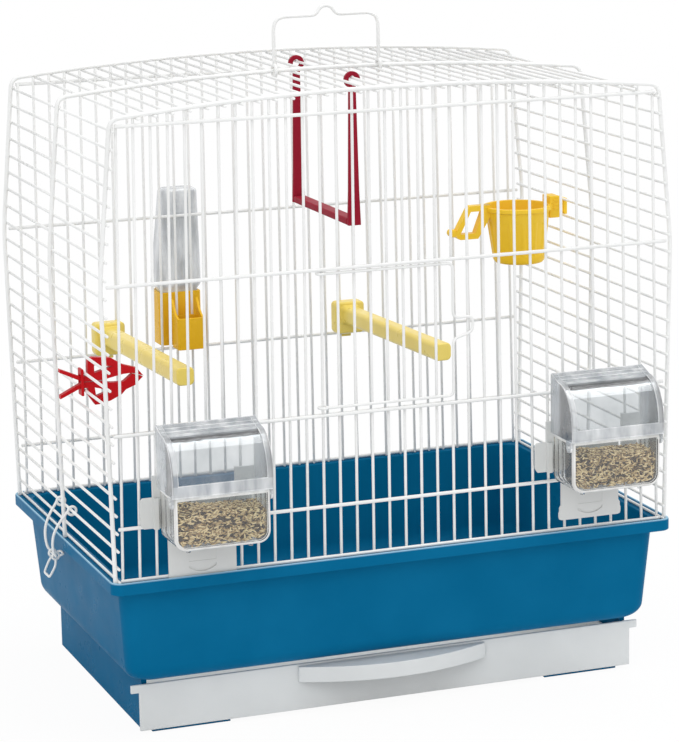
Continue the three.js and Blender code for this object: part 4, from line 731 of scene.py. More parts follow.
def door():
    rail_y = -(UPRIGHT_PLANE + FINE_WIRE / 2 + DOOR_WIRE / 2 - WELD)
    front = rail_y - DOOR_FORWARD
    last = DOOR_LANES - 0.5
    side = last * pitch_at(DOOR_MIDDLE)
    axis_x = -(DOOR_LANES + 0.5) * pitch_at(DOOR_MIDDLE)
    hole = hole_over(FINE_WIRE, DOOR_EYE_CLEARANCE)
    rails = (DOOR_TOP, DOOR_BOTTOM)
    parts = [eye("z", axis_x, -UPRIGHT_PLANE, z, hole, DOOR_WIRE) for z in rails]
    for z in rails:
        parts.append(tube([(axis_x + hole, rail_y, z), (side - DOOR_ROUND, rail_y, z)], DOOR_WIRE / 2))
    latch_x = (DOOR_LANES + 0.5) * pitch_at(LATCH_TOP) + LATCH_REACH
    near = side - 2 * DOOR_ROUND
    edge = [(near, DOOR_TOP), (side, DOOR_TOP), (side, LATCH_TOP), (latch_x, LATCH_TOP),
            (latch_x, LATCH_BOTTOM + LATCH_SLANT / 2), (side, LATCH_BOTTOM - LATCH_SLANT / 2),
            (side, DOOR_BOTTOM), (near, DOOR_BOTTOM)]
    parts.append(tube(filleted([(x, front, z) for x, z in edge], DOOR_ROUND), DOOR_WIRE / 2))
    weld_y = (rail_y - UPRIGHT_PLANE) / 2
    for lane in [lane for lane in LANES if -last <= lane < last]:
        parts.append(upright(lane, -UPRIGHT_PLANE, DOOR_BOTTOM - DOOR_WIRE / 2, DOOR_TOP + DOOR_WIRE / 2))
        parts.extend(bead(lane * pitch_at(z), weld_y, z) for z in rails)
    return merged(parts)


def carry_handle():
    axis = arch_at(HANDLE_HALF)
    hole = hole_over(HOOP_WIRE, HANDLE_EYE_CLEARANCE)
    foot = axis + hole + HANDLE_WIRE / 2
    top = ARCH_HEIGHT + HANDLE_RISE
    half = [(HANDLE_HALF, foot), (HANDLE_HALF, top), (HANDLE_PEAK_HALF, top),
            (HANDLE_PEAK_HALF / 2, top + HANDLE_PEAK_RISE)]
    line = [(x, 0, z) for x, z in half] + [(-x, 0, z) for x, z in reversed(half)]
    eyes = [eye("x", x, 0, axis, hole, HANDLE_WIRE) for x in (-HANDLE_HALF, HANDLE_HALF)]
    return merged([tube(filleted(line, HANDLE_CORNER), HANDLE_WIRE / 2), *eyes])


CLASP_PIVOT_Z = SIDE_FIRST + SIDE_PITCH
CLASP_PIVOT_X = hoop_half_at(CLASP_PIVOT_Z) - LONG_INSET
CLASP_BAR_X, CLASP_BAR_Z = RIM_WIDTH / 2 + CLASP_BAR_OUT, RIM_TOP - CLASP_BAR_DROP


def bent(side, line, bend, wire):
    """A bent wire: a line and its mirror image across Y, on one side of the cage."""
    whole = [(side * x, y, z) for x, y, z in line] + [(side * x, -y, z) for x, y, z in reversed(line)]
    return tube(filleted(whole, bend), wire / 2)


def eye_pair(side, x, half, z, hole, wire):
    return [eye("y", side * x, s * half, z, hole, wire) for s in (-1, 1)]


def clasp_link(side):
    hole = hole_over(FINE_WIRE, CLASP_EYE_CLEARANCE)
    start = CLASP_PIVOT_X + hole + CLASP_WIRE / 2
    out = RIM_WIDTH / 2 + CLASP_BULGE - start
    fall, narrow = CLASP_PIVOT_Z - CLASP_BAR_Z, CLASP_EYE_HALF - CLASP_BAR_HALF
    half = [(start + out * wide, CLASP_EYE_HALF - narrow * down, CLASP_PIVOT_Z - fall * down)
            for wide, down in LINK_ARM_SHARES]
    half.append((CLASP_BAR_X, CLASP_BAR_HALF, CLASP_BAR_Z))
    eyes = eye_pair(side, CLASP_PIVOT_X, CLASP_EYE_HALF, CLASP_PIVOT_Z, hole, CLASP_WIRE)
    return merged([bent(side, half, CLASP_ROUND, CLASP_WIRE), *eyes])


def clasp_lever(side):
    hole = CLASP_WIRE / 2 + CLASP_EYE_CLEARANCE
    reach = hole + LEVER_WIRE / 2
    bail = [(CLASP_BAR_X, LEVER_EYE_HALF, CLASP_BAR_Z - reach),
            (CLASP_BAR_X + LEVER_LEAN / 4, LEVER_HALF, CLASP_BAR_Z - reach - LEVER_DROP / 4),
            (CLASP_BAR_X + LEVER_LEAN, LEVER_FOOT_HALF, CLASP_BAR_Z - LEVER_DROP)]
    nose = [(CLASP_BAR_X - reach, LEVER_EYE_HALF, CLASP_BAR_Z),
            (CLASP_BAR_X - LEVER_NOSE_IN, LEVER_EYE_HALF, CLASP_BAR_Z + LEVER_NOSE_RISE)]
    eyes = eye_pair(side, CLASP_BAR_X, LEVER_EYE_HALF, CLASP_BAR_Z, hole, LEVER_WIRE)
    return merged([bent(side, line, LEVER_ROUND, LEVER_WIRE) for line in (bail, nose)] + eyes)


wire_piece("door_wires", door(), "door", "main_door")
wire_piece("handle_wire", carry_handle(), "handle", "carry_handle")
for side, word in ((-1, "left"), (1, "right")):
    wire_piece(f"link_wire_{word}", clasp_link(side), f"link_{word}", f"clasp_link_{word}")
    wire_piece(f"lever_wire_{word}", clasp_lever(side), f"lever_{word}", f"clasp_lever_{word}")


# Tray and drawer

PLINTH_X = BODY_LOW_WIDTH / 2 - BODY_BOTTOM_ROUND - PLINTH_INSET
PLINTH_Y = BODY_LOW_DEPTH / 2 - BODY_BOTTOM_ROUND - PLINTH_INSET


def tray():
    top = RIM_TOP - RIM_LEDGE
    rings = []

    def ring(half_x, half_y, out, z, corner):
        rings.append(rounded_ring(half_x + out, half_y + out, corner, z, steps=TRAY_STEPS))

    def wall_ring(out, z):
        ring(BODY_LOW_WIDTH / 2, BODY_LOW_DEPTH / 2, out, z, BODY_CORNER)

    def rim_ring(out, z, corner=RIM_CORNER):
        ring(RIM_WIDTH / 2, RIM_DEPTH / 2, out, z, corner)

    def bottom_round(steps, skin):
        for i in steps:
            angle = i / TRAY_STEPS * math.pi / 2
            wall_ring(BODY_BOTTOM_ROUND * (math.sin(angle) - 1) - skin,
                      BODY_FLOOR + skin + BODY_BOTTOM_ROUND * (1 - math.cos(angle)))

    # Outside: up the bottom round and the wall, then round the rim
    bottom_round(range(TRAY_STEPS + 1), 0)
    under, skirt = top - RIM_SKIN, RIM_TOP - RIM_SKIRT
    wide = (BODY_TOP_WIDTH - BODY_LOW_WIDTH) / 2 * ((under - BODY_FLOOR) / (top - BODY_FLOOR))
    for out, up in WALL_TOP_EDGE:
        wall_ring(wide + out, under + up)
    rim_ring(-RIM_SKIN - RIM_FILLET, under, RIM_INSIDE_CORNER - RIM_FILLET)
    rim_ring(-RIM_SKIN, under - RIM_FILLET_DROP, RIM_INSIDE_CORNER)
    rim_ring(-RIM_SKIN + RIM_INSIDE_STEP, skirt + RIM_FILLET, RIM_INSIDE_CORNER)
    for out, up in SKIRT_EDGE:
        rim_ring(out, skirt + up)
    for out, up in RIM_EDGE:
        rim_ring(out, RIM_TOP + up)
    rim_ring(-RIM_SKIN + RIM_TOP_STEP, top, RIM_INSIDE_CORNER)
    # The ledge, and down the inside to the opening over the drawer
    for out, up in LEDGE_EDGE:
        ring(BODY_TOP_WIDTH / 2 - TRAY_WALL, BODY_TOP_DEPTH / 2 - TRAY_WALL, out, top + up, BODY_CORNER)
    bottom_round(range(TRAY_STEPS, -1, -1), TRAY_WALL)
    well_x = PLINTH_X - TRAY_WALL - FLOOR_LEDGE
    well_y = PLINTH_Y - FLOOR_LEDGE - TRAY_WALL
    for out, up in WELL_EDGE:
        ring(well_x, well_y, out, BODY_FLOOR + up, WELL_CORNER)
    body = facing_out(loft(rings, wrap=True))

    plinth_top = BODY_FLOOR + TRAY_WALL / 2
    base = block(*span(0, PLINTH_X), *span(0, PLINTH_Y), 0, plinth_top)
    flange_x, flange_y = PLINTH_X + PLINTH_FLANGE, PLINTH_Y + PLINTH_FLANGE
    flange = block(*span(0, flange_x), -PLINTH_Y, flange_y, BODY_FLOOR - PLINTH_FLANGE_HEIGHT, plinth_top)
    bay = block(*span(0, PLINTH_X - TRAY_WALL), -PLINTH_Y - OVERRUN, PLINTH_Y - TRAY_WALL,
                PLINTH_SHEET, BODY_FLOOR)
    well = block(*span(0, well_x), *span(0, well_y), BODY_FLOOR - OVERRUN, plinth_top + OVERRUN)
    gaps = ((-FOOT_TAB_INNER, FOOT_TAB_INNER), (FOOT_TAB_OUTER, PLINTH_X + OVERRUN),
            (-PLINTH_X - OVERRUN, -FOOT_TAB_OUTER))
    cuts = [block(x0, x1, -PLINTH_Y - OVERRUN, -PLINTH_Y + FOOT_TAB_LENGTH, -OVERRUN,
                  PLINTH_SHEET + OVERRUN / 4) for x0, x1 in gaps]
    return fused(body, softened(cut(fused(base, flange), bay, well, *cuts), PLINTH_EDGE))


def lip_outline(inset, steps=40):
    """The grip's crescent seen from above; its ends stand out a little from the front."""
    front = -(PLINTH_Y + DRAWER_FRONT_GAP + DRAWER_FRONT_THICKNESS)
    half, bulge = LIP_WIDTH / 2 - inset, LIP_BULGE - inset - LIP_END_STEP
    shares = [2 * i / steps - 1 for i in range(steps + 1)]
    curve = [(share * half, front - (LIP_END_STEP + bulge * (1 - share ** 2))) for share in shares]
    return [(-half, front + WELD), *curve, (half, front + WELD)]


def drawer():
    half_x = PLINTH_X - TRAY_WALL - DRAWER_SIDE
    back = PLINTH_Y - TRAY_WALL - DRAWER_SIDE
    face_back = -PLINTH_Y - DRAWER_FRONT_GAP
    face_front = face_back - DRAWER_FRONT_THICKNESS
    bottom = PLINTH_SHEET + SEAT
    half = DRAWER_FRONT_WIDTH / 2
    middle, half_y = (face_back - OVERRUN + back) / 2, (back - face_back + OVERRUN) / 2
    profile = [*PAN_OUTSIDE, *((inset, DRAWER_PAN_HEIGHT + up) for inset, up in PAN_BRIM),
               *((DRAWER_WALL + inset, up) for inset, up in PAN_INSIDE)]
    pan = facing_out(loft([rounded_ring(half_x - inset, half_y - inset, DRAWER_CORNER, bottom + up,
                                        y=middle, steps=4) for inset, up in profile]))
    face = block(-half, half, face_front, face_back, bottom, DRAWER_FRONT_TOP)
    ear = block(-half - DRAWER_EAR_REACH, half + DRAWER_EAR_REACH, face_front, face_back,
                DRAWER_FRONT_TOP - DRAWER_EAR_HEIGHT, DRAWER_FRONT_TOP)
    lip_top = DRAWER_FRONT_TOP - LIP_DROP
    lip = prism("z", lip_outline(0), lip_top - LIP_HEIGHT, lip_top)
    palm = prism("z", lip_outline(LIP_SKIN), lip_top - LIP_HEIGHT - OVERRUN, lip_top - LIP_SKIN)
    return fused(softened(fused(face, ear), DRAWER_EDGE, 3), pan, softened(cut(lip, palm), LIP_EDGE, 3))


show("tray_moulding", tray(), BLUE, "cage", "tray")
show("drawer_moulding", drawer(), GREY, "drawer", "drawer")


# Feeders

SHUTTER_BACK = CROSS_PLANE + CROSS_WIRE / 2 + SEAT
FRAME_BACK = SHUTTER_BACK + SHUTTER_SKIN + SEAT
FRAME_FRONT = FRAME_BACK + FRAME_SKIN
BIN_BACK = FRAME_FRONT + SEAT
BIN_FRONT = BIN_BACK + BIN_DEPTH


def feeder_frame(z, middle, centre):
    low, high = span(centre, FRAME_HALF)
    guide = SHUTTER_HALF + SEAT
    y0, y1 = -FRAME_FRONT, -FRAME_BACK
    plate = block(low, high, y0, y1, z, z + FRAME_HEIGHT)
    window = block(*span(middle, guide), y0 - OVERRUN, y1 + OVERRUN, z + FRAME_BAR,
                   z + FRAME_HEIGHT + OVERRUN)
    tip = low - EAR_REACH
    ear = prism("y", [
        (tip, z + EAR_FOOT_SLANT[1]), (tip + EAR_FOOT_SLANT[0], z), (low + EAR_REACH, z),
        (low + EAR_REACH, z + EAR_HEIGHT), (tip + EAR_TOP_SLANT[0], z + EAR_HEIGHT),
        (tip, z + EAR_HEIGHT - EAR_TOP_SLANT[1])], y0, y1)
    lip_back = FRAME_FRONT + BIN_SKIN + 2 * SEAT
    lip_front = -lip_back - CHANNEL_WALL
    parts = []
    for s in (-1, 1):
        inner = middle + s * guide
        parts.append(block(inner, inner + s * FRAME_GUIDE, y1 - WELD, -SHUTTER_BACK, z, z + FRAME_HEIGHT))
        lane = s * (STATION_WIRES / 2 + 0.5) * pitch_at(z)
        clip = middle + lane - s * (FINE_WIRE / 2 + 2 * SEAT)
        parts.append(block(clip, clip - s * FRAME_GUIDE, y1 - WELD, -UPRIGHT_PLANE + FINE_WIRE / 2,
                           z + FRAME_BAR, z + FRAME_BAR + FRAME_CLIP_LENGTH))
        wall = centre + s * FRAME_HALF
        parts.append(block(wall, wall - s * CHANNEL_WALL, lip_front, y0 + WELD, z, z + CHANNEL_HEIGHT))
        parts.append(block(wall, wall - s * CHANNEL_LIP, lip_front, -lip_back, z, z + CHANNEL_HEIGHT))
    return fused(softened(cut(plate, window), FRAME_EDGE), softened(ear, EAR_EDGE), *parts)


def feeder_shutter(z, middle, notched):
    y0, y1 = -SHUTTER_BACK - SHUTTER_SKIN, -SHUTTER_BACK
    # The right edge, from the foot up: (how far in from the widest, height)
    steps = [(0, 0), (0, SHUTTER_HEIGHT)]
    if notched:
        steps = [(SHUTTER_ROUND, 0), (SHUTTER_ROUND / 4, SHUTTER_ROUND / 4), (0, SHUTTER_ROUND),
                 (0, SHUTTER_FOOT_HEIGHT / 2),
                 *((SHUTTER_WAIST / 3, SHUTTER_FOOT_HEIGHT * share) for share in NOTCH_SHARES),
                 (SHUTTER_WAIST, SHUTTER_FOOT_HEIGHT), (SHUTTER_WAIST, SHUTTER_HEIGHT)]
    right = [(middle + SHUTTER_HALF - inward, z + up) for inward, up in steps]
    left = [(2 * middle - x, v) for x, v in reversed(right)]
    plate = prism("y", right + left, y0, y1)
    shares = [i / GRIP_STEPS - 1 for i in range(2 * GRIP_STEPS + 1)]
    smile = [(middle + share * GRIP_HALF, z + GRIP_FOOT + GRIP_SAG * share ** 2) for share in shares]
    band = smile + [(x, v + GRIP_DEPTH * 2) for x, v in reversed(smile)]
    field = block(*span(middle, GRIP_HALF), y0 - OVERRUN, y0 + GRIP_DEPTH / 4,
                  z + GRIP_TOP, z + GRIP_TOP + GRIP_HALF)
    return softened(cut(plate, prism("y", band, y0 - OVERRUN, y0 + GRIP_DEPTH), field), SHUTTER_EDGE)


def bin_outline(centre, z, inset, top, steps=8):
    half, radius, low = BIN_HALF - inset, BIN_ROUND - inset, z + inset
    outline = [(centre + half, top), (centre - half, top)]
    for s in (-1, 1):
        for i in range(steps + 1):
            angle = (i if s < 0 else steps - i) / steps * math.pi / 2
            outline.append((centre + s * (half - radius + radius * math.cos(angle)),
                            low + radius - radius * math.sin(angle)))
    return outline


def pivot_of(z):
    return -BIN_FRONT + PIVOT_INSET, z + BIN_HEIGHT - PIVOT_INSET


def feeder_bin(z, centre):
    top = z + BIN_HEIGHT
    shell = softened(prism("y", bin_outline(centre, z, 0, top), -BIN_FRONT, -BIN_BACK), BIN_EDGE, 4)
    inside = prism("y", bin_outline(centre, z, BIN_SKIN, top + 3 * OVERRUN), -BIN_FRONT + BIN_SKIN,
                   -BIN_BACK - BIN_SKIN)
    beak = block(*span(centre, BIN_HALF - BIN_SKIN), -BIN_BACK - 2 * BIN_SKIN, -BIN_BACK + OVERRUN,
                 z + BIN_BACK_HEIGHT, top + OVERRUN)
    parts = []
    flange_foot = z + BIN_DROP + SEAT
    y, pivot_z = pivot_of(z)
    for s in (-1, 1):
        wall = centre + s * (BIN_HALF - WELD)
        parts.append(block(wall, wall + s * BIN_FLANGE, -BIN_BACK - BIN_SKIN, -BIN_BACK,
                           flange_foot, flange_foot + BIN_FLANGE_HEIGHT))
        foot = centre + s * PEG_SPREAD
        parts.append(block(*span(foot, PEG_SIZE / 2), -BIN_FRONT + BIN_ROUND,
                           -BIN_FRONT + BIN_ROUND + PEG_SIZE, z - PEG_LENGTH, z + WELD))
        parts.append(rod("x", PIVOT_RADIUS, y, pivot_z, wall, centre + s * (BIN_HALF + SEAT + HOOD_SKIN)))
    return fused(cut(shell, softened(inside, BIN_INNER_EDGE), beak), *parts)


HOOD_BACK = -BIN_BACK - SEAT
HOOD_FRONT = -BIN_FRONT - HOOD_OVERHANG - HOOD_SKIN
HOOD_INNER = BIN_HALF + SEAT
HOOD_OUTER = HOOD_INNER + HOOD_SKIN


def hood_outline(z, inset, low, steps=14):
    """The hood seen from its side: up the back, over the shoulder and down the curved front."""
    front = HOOD_FRONT + inset
    top = z + BIN_HEIGHT + HOOD_HEIGHT - inset
    shoulder_y, shoulder_z = HOOD_BACK - HOOD_SHOULDER_DEPTH, top - HOOD_SHOULDER_DROP
    band = z + BIN_HEIGHT + HOOD_BAND
    outline = [(HOOD_BACK, low), (HOOD_BACK, top)]
    for i in range(steps + 1):
        angle = i / steps * math.pi / 2
        outline.append((shoulder_y + (front - shoulder_y) * math.sin(angle),
                        band + (shoulder_z - band) * math.cos(angle)))
    outline.append((front, low))
    return outline


def hood_frost(z, centre):
    """The haze of the hood's parts: grey borders and top, a whiter band over the bin, a clear window."""
    def share_of(middle, normal):
        if middle.z < z + BIN_HEIGHT + SEAT + HOOD_BAND:
            return BAND_FROST
        if abs(normal.x) > FACING_SHARE:
            return WALL_FROST
        on_top = middle.y > -BIN_BACK - HOOD_SHOULDER_DEPTH
        return BORDER_FROST if on_top or abs(middle.x - centre) > HOOD_OUTER - HOOD_BORDER else 0.0

    return share_of


def feeder_hood(z, centre):
    low = z + BIN_HEIGHT + SEAT
    shell = prism("x", hood_outline(z, HOOD_RELIEF, low), *span(centre, HOOD_OUTER))
    inside = hood_outline(z, HOOD_SKIN, low - 3 * OVERRUN)
    inside[:2] = [(y + 3 * OVERRUN, level) for y, level in inside[:2]]
    hollow = prism("x", inside, *span(centre, HOOD_INNER))
    # Raised edges down the two curved sides, a strip and ridges across the top, and the band over the bin
    raised = []
    for s in (-1, 1):
        edge = centre + s * HOOD_OUTER
        border = prism("x", hood_outline(z, 0, low), edge, edge - s * HOOD_BORDER)
        raised.append(softened(border, BORDER_EDGE, 3))
    top = z + BIN_HEIGHT + HOOD_HEIGHT
    reach = span(centre, HOOD_OUTER - RIDGE_END)
    for along, wide in HOOD_RIDGES:
        y = HOOD_BACK - along
        crest = top - HOOD_SHOULDER_DROP * along / HOOD_SHOULDER_DEPTH - RIDGE_SINK
        raised.append(softened(block(*reach, y - wide, y, crest - RIDGE_DEPTH, crest), RIDGE_EDGE))
    band = block(*reach, HOOD_FRONT, HOOD_FRONT + HOOD_SKIN + BAND_SINK, low, low + HOOD_BAND)
    rim = block(*span(centre, HOOD_OUTER), HOOD_FRONT, HOOD_FRONT + HOOD_RIM[0], low, low + HOOD_RIM[1])
    raised += [softened(band, BAND_EDGE), softened(rim, BAND_EDGE)]
    y, pivot_z = pivot_of(z)
    ears = []
    for s in (-1, 1):
        ends = centre + s * HOOD_INNER, centre + s * HOOD_OUTER
        ears.append(rod("x", HOOD_EAR_RADIUS, y, pivot_z, *ends, 24))
        ears.append(block(*ends, y - HOOD_EAR_RADIUS, y + HOOD_EAR_RADIUS, pivot_z, low + WELD))
    bore = rod("x", PIVOT_RADIUS + SEAT, y, pivot_z, *span(centre, HOOD_OUTER + OVERRUN))
    return cut(fused(shell, *raised, *ears), hollow, bore)


def frosted(thing, share_of):
    """Gives each face of a clear piece its share of haze; narrow rounded edges get a whiter haze, a painted
    highlight along the edges.
    """
    mesh = thing.data
    values = []
    for face in mesh.polygons:
        corners = [mesh.vertices[i].co for i in face.vertices]
        longest = max((a - b).length for a, b in zip(corners, corners[1:] + corners[:1]))
        narrow = face.area / longest < NARROW_FACE * MM
        # Narrow rounded edges take the haze of the painted highlight
        values.append(EDGE_PAINTED_HIGHLIGHT if narrow else share_of(face.center / MM, face.normal))
    mesh.attributes.new("frost", "FLOAT", "FACE").data.foreach_set("value", values)


def grain(middle, way, roll, size):
    """One husked seed: a spindle."""
    along = way.normalized()
    side = Matrix.Rotation(roll, 3, along) @ along.orthogonal().normalized()
    other = along.cross(side)
    length, width = GRAIN_LENGTH * size, GRAIN_WIDTH * size
    points = [middle - along * length / 2]
    for share, full in GRAIN_BELLY_SHARES:
        for i in range(GRAIN_SIDES):
            angle = 2 * math.pi * (i + 0.5 * (share > 0)) / GRAIN_SIDES
            points.append(middle + along * length * share
                          + (side * math.cos(angle) + other * GRAIN_THICK_SHARE * math.sin(angle))
                          * width / 2 * full)
    points.append(middle + along * length / 2)
    faces = []
    for i in range(GRAIN_SIDES):
        low, low_next = 1 + i, 1 + (i + 1) % GRAIN_SIDES
        high, high_next = low + GRAIN_SIDES, low_next + GRAIN_SIDES
        faces += [(0, low_next, low), (low, low_next, high), (low_next, high_next, high),
                  (2 * GRAIN_SIDES + 1, high, high_next)]
    return [tuple(p) for p in points], faces


def seed_heap(z, centre, draw):
    """Seed pressed against the bin's walls and heaped a little on top, with each point's tone and painted
    shade.
    """
    inset = BIN_SKIN + SEAT + GRAIN_WIDTH * GRAIN_PRESS_SHARE
    half, round_off = BIN_HALF - inset, BIN_ROUND - BIN_SKIN
    walls = {-1: -BIN_FRONT + inset, 1: -BIN_BACK - inset}
    low, high = z + inset, z + BIN_SKIN + SEED_DEPTH
    parts, tones_and_painted_shade = [], []

    def top_at(x, y):
        wave = sum(share * math.sin(x * along + y * across + start)
                   for share, along, across, start in SEED_WAVES)
        return high - SEED_TOP_DROP - SEED_SLACK + SEED_SWELL * wave

    def in_round(x, level):
        corner_x, corner_z = half - round_off, low + round_off
        if abs(x) < corner_x or level > corner_z:
            return True
        return math.hypot(abs(x) - corner_x, level - corner_z) < round_off

    def is_past(end):
        return (abs(end.x) > half or not walls[-1] < end.y < walls[1] or end.z < low - GRAIN_SINK
                or not in_round(end.x, end.z))

    def direction(outward):
        tilt = draw.gauss(0, GRAIN_TILT)
        way = Vector((math.cos(tilt), draw.gauss(0, GRAIN_WANDER), math.sin(tilt)))
        if outward.x:
            way = Vector((draw.gauss(0, GRAIN_WANDER), math.cos(tilt), math.sin(tilt)))
        if outward.z:
            turn = draw.uniform(0, math.pi)
            way = Vector((math.cos(turn), math.sin(turn), draw.gauss(0, GRAIN_FLAT)))
        return way.normalized()

    def scatter(count, spot, outward):
        left = count
        while left:
            x, y, level = spot()
            if not in_round(x, level):
                continue
            way = direction(outward)
            reach = way * GRAIN_LENGTH / 2 * GRAIN_END_SHARE
            if any(is_past(Vector((x, y, level)) + reach * s) for s in (-1, 1)):
                if draw.random() < LEFT_AWAY_SHARE:
                    continue
                way = way if outward.z else Vector((0, 0, 1))
            middle = Vector((centre + x, y, level))
            husk = grain(middle, way, draw.uniform(0, 3), draw.uniform(*GRAIN_SIZE_SHARES))
            parts.append(husk)
            # Painted shade: pale on the grain's outer side, dark where it sinks between its neighbours
            shade = draw.gauss(GRAIN_SHADE, GRAIN_SPREAD)
            for px, py, pz in husk[0]:
                rise = Vector((px - centre - x, py - y, pz - level)).dot(outward) / GRAIN_WIDTH
                tones_and_painted_shade.append(min(1, max(GRAIN_DARKEST, shade + GRAIN_PAINTED_SHADE * rise)))
            left -= 1

    def broad_spot(s):
        x = draw.uniform(-half, half)
        y = walls[s] - s * abs(draw.gauss(0, BROAD_SUNK[s]))
        return x, y, draw.uniform(low, top_at(x, y) - SEED_BRIM)

    def side_spot(s):
        y = draw.uniform(walls[-1] + SIDE_MARGIN, walls[1] - SIDE_MARGIN)
        x = s * (half - abs(draw.gauss(0, SIDE_SUNK)))
        return x, y, draw.uniform(low, top_at(x, y) - SEED_BRIM)

    def top_spot():
        x = draw.uniform(-half + TOP_MARGIN, half - TOP_MARGIN)
        y = draw.uniform(walls[-1] + TOP_MARGIN, walls[1] - TOP_MARGIN)
        return x, y, top_at(x, y) - abs(draw.gauss(0, SIDE_SUNK))

    for s in (-1, 1):
        scatter(BROAD_COUNTS[s], lambda: broad_spot(s), Vector((0, s, 0)))
    for s in (-1, 1):
        scatter(SIDE_GRAINS, lambda: side_spot(s), Vector((s, 0, 0)))
    scatter(TOP_GRAINS, top_spot, Vector((0, 0, 1)))
    # A core fills the heap behind the grains and takes the darkest value: painted shade for the gaps between
    # grains
    core = softened(prism("y", bin_outline(centre, z, inset + CORE_INSET, high - CORE_DROP - SEED_SLACK),
                          walls[-1] + CORE_INSET, walls[1] - CORE_INSET), 1)
    parts.append(core)
    tones_and_painted_shade.extend([0.0] * len(core[0]))
    return merged(parts), tones_and_painted_shade


draw = random.Random(SEED_NUMBER)
for side, word in ((-1, "left"), (1, "right")):
    lift = STATION_STEP if side > 0 else 0
    bottom = LOW_CROSS - SEAT + lift
    middle = side * STATION_LANES * pitch_at(LOW_CROSS - SEAT + FRAME_HEIGHT / 2)
    centre = middle + BIN_OFFSET
    foot = bottom - BIN_DROP
    show(f"frame_{word}", feeder_frame(bottom, middle, centre), WHITE, "cage",
         f"feeder_frame_{word}")
    show(f"shutter_plate_{word}", feeder_shutter(HOOP_FOOT + lift, middle, side > 0), WHITE,
         f"shutter_{word}", f"feeder_shutter_{word}")
    seed_bin = show(f"bin_clear_{word}", feeder_bin(foot, centre), BIN_CLEAR, f"bin_{word}",
                    f"feeder_bin_{word}")
    frosted(seed_bin, lambda middle, normal: 0.0 if abs(normal.y) > FACING_SHARE else BIN_SIDE_FROST)
    hood = show(f"hood_clear_{word}", feeder_hood(foot, centre), HOOD_CLEAR, f"hood_{word}",
                f"feeder_hood_{word}")
    frosted(hood, hood_frost(foot, centre))
    heap, tones_and_painted_shade = seed_heap(foot, centre, draw)
    seed = show(f"seed_{word}", heap, SEED, f"bin_{word}", f"seed_fill_{word}", sharp=50,
                weighted=False)
    # Each point's tone with its painted shade goes to the seed colour
    seed.data.attributes.new("shade", "FLOAT", "POINT").data.foreach_set("value", tones_and_painted_shade)


# Drinker

TROUGH_X = DRINKER_LANES * pitch_at(SILL)
DRINKER_X = TROUGH_X + DRINKER_SHIFT
DRINKER_FRONT = CROSS_PLANE + CROSS_WIRE / 2 + 2 * SEAT
DRINKER_Y = DRINKER_FRONT + DRINKER_DEPTH / 2
DRINKER_FOOT = SILL + CROSS_WIRE / 2 + SEAT
DRINKER_TOP = DRINKER_FOOT + DRINKER_BASE_HEIGHT
NECK_X, NECK_Y = DRINKER_WIDTH / 2 - DRINKER_SKIN - SEAT, DRINKER_DEPTH / 2 - DRINKER_SKIN - SEAT
BOTTLE_FOOT = DRINKER_TOP - BOTTLE_NECK


def rounded_block(half_x, half_y, radius, z0, z1, x, y, edge=0):
    """An upright rounded block, its two level edges eased."""
    levels = [(0, z0), (0, z1)]
    if edge:
        ease = edge * EASE_SHARE
        levels = [(edge, z0), (ease, z0 + ease), (0, z0 + edge),
                  (0, z1 - edge), (ease, z1 - ease), (edge, z1)]
    rings = [rounded_ring(half_x - inset, half_y - inset, max(radius - inset, LEAST_ROUND), z, x, y)
             for inset, z in levels]
    return facing_out(loft(rings))


def drinker_base():
    neck_half = DRINKER_NECK / 2
    trough_back = UPRIGHT_PLANE - FINE_WIRE / 2 - 2 * SEAT
    trough_y = trough_back - TROUGH_DEPTH / 2
    brim = DRINKER_FOOT + TROUGH_HEIGHT
    cup = rounded_block(DRINKER_WIDTH / 2, DRINKER_DEPTH / 2, DRINKER_ROUND, DRINKER_FOOT, DRINKER_TOP,
                        DRINKER_X, DRINKER_Y, DRINKER_EDGE)
    trough = rounded_block(TROUGH_WIDTH / 2, TROUGH_DEPTH / 2, DRINKER_ROUND / 2, DRINKER_FOOT, brim,
                           TROUGH_X, trough_y, TROUGH_EDGE)
    # The trough's sides rise in a hollow curve towards the wires
    front, deep = trough_y - TROUGH_DEPTH / 2 + DRINKER_ROUND / 2, TROUGH_DEPTH - DRINKER_ROUND / 2
    line = [(front + back * deep, brim + up * TROUGH_WING) for back, up in WING_SHARES]
    wing = [*line, (front, brim - OVERRUN), (trough_back, brim - OVERRUN)]
    wings = []
    for s in (-1, 1):
        edge = TROUGH_X + s * TROUGH_WIDTH / 2
        wings.append(softened(prism("x", wing, edge, edge - s * DRINKER_SKIN), WING_EDGE))
    neck = block(*span(TROUGH_X, neck_half), trough_back - WELD, DRINKER_FRONT + WELD,
                 DRINKER_FOOT + DRINKER_NECK_LIFT, DRINKER_FOOT + DRINKER_NECK_HEIGHT)
    floor = DRINKER_FOOT + DRINKER_SKIN
    socket = rounded_block(NECK_X + SEAT, NECK_Y + SEAT, DRINKER_ROUND - DRINKER_SKIN, BOTTLE_FOOT - SEAT,
                           DRINKER_TOP + OVERRUN, DRINKER_X, DRINKER_Y)
    sump = rounded_block(NECK_X - DRINKER_SKIN, NECK_Y - DRINKER_SKIN, DRINKER_ROUND / 2, floor,
                         BOTTLE_FOOT + OVERRUN, DRINKER_X, DRINKER_Y)
    pool = rounded_block(TROUGH_WIDTH / 2 - DRINKER_SKIN, TROUGH_DEPTH / 2 - DRINKER_SKIN,
                         TROUGH_INNER_ROUND, floor, brim + OVERRUN, TROUGH_X, trough_y)
    duct = block(*span(TROUGH_X, neck_half - DRINKER_SKIN), trough_back - DRINKER_SKIN - OVERRUN, DRINKER_Y,
                 floor, floor + DRINKER_NECK_HEIGHT - 2 * DRINKER_SKIN)
    return cut(fused(cup, neck, trough, *wings), socket, sump, pool, duct)


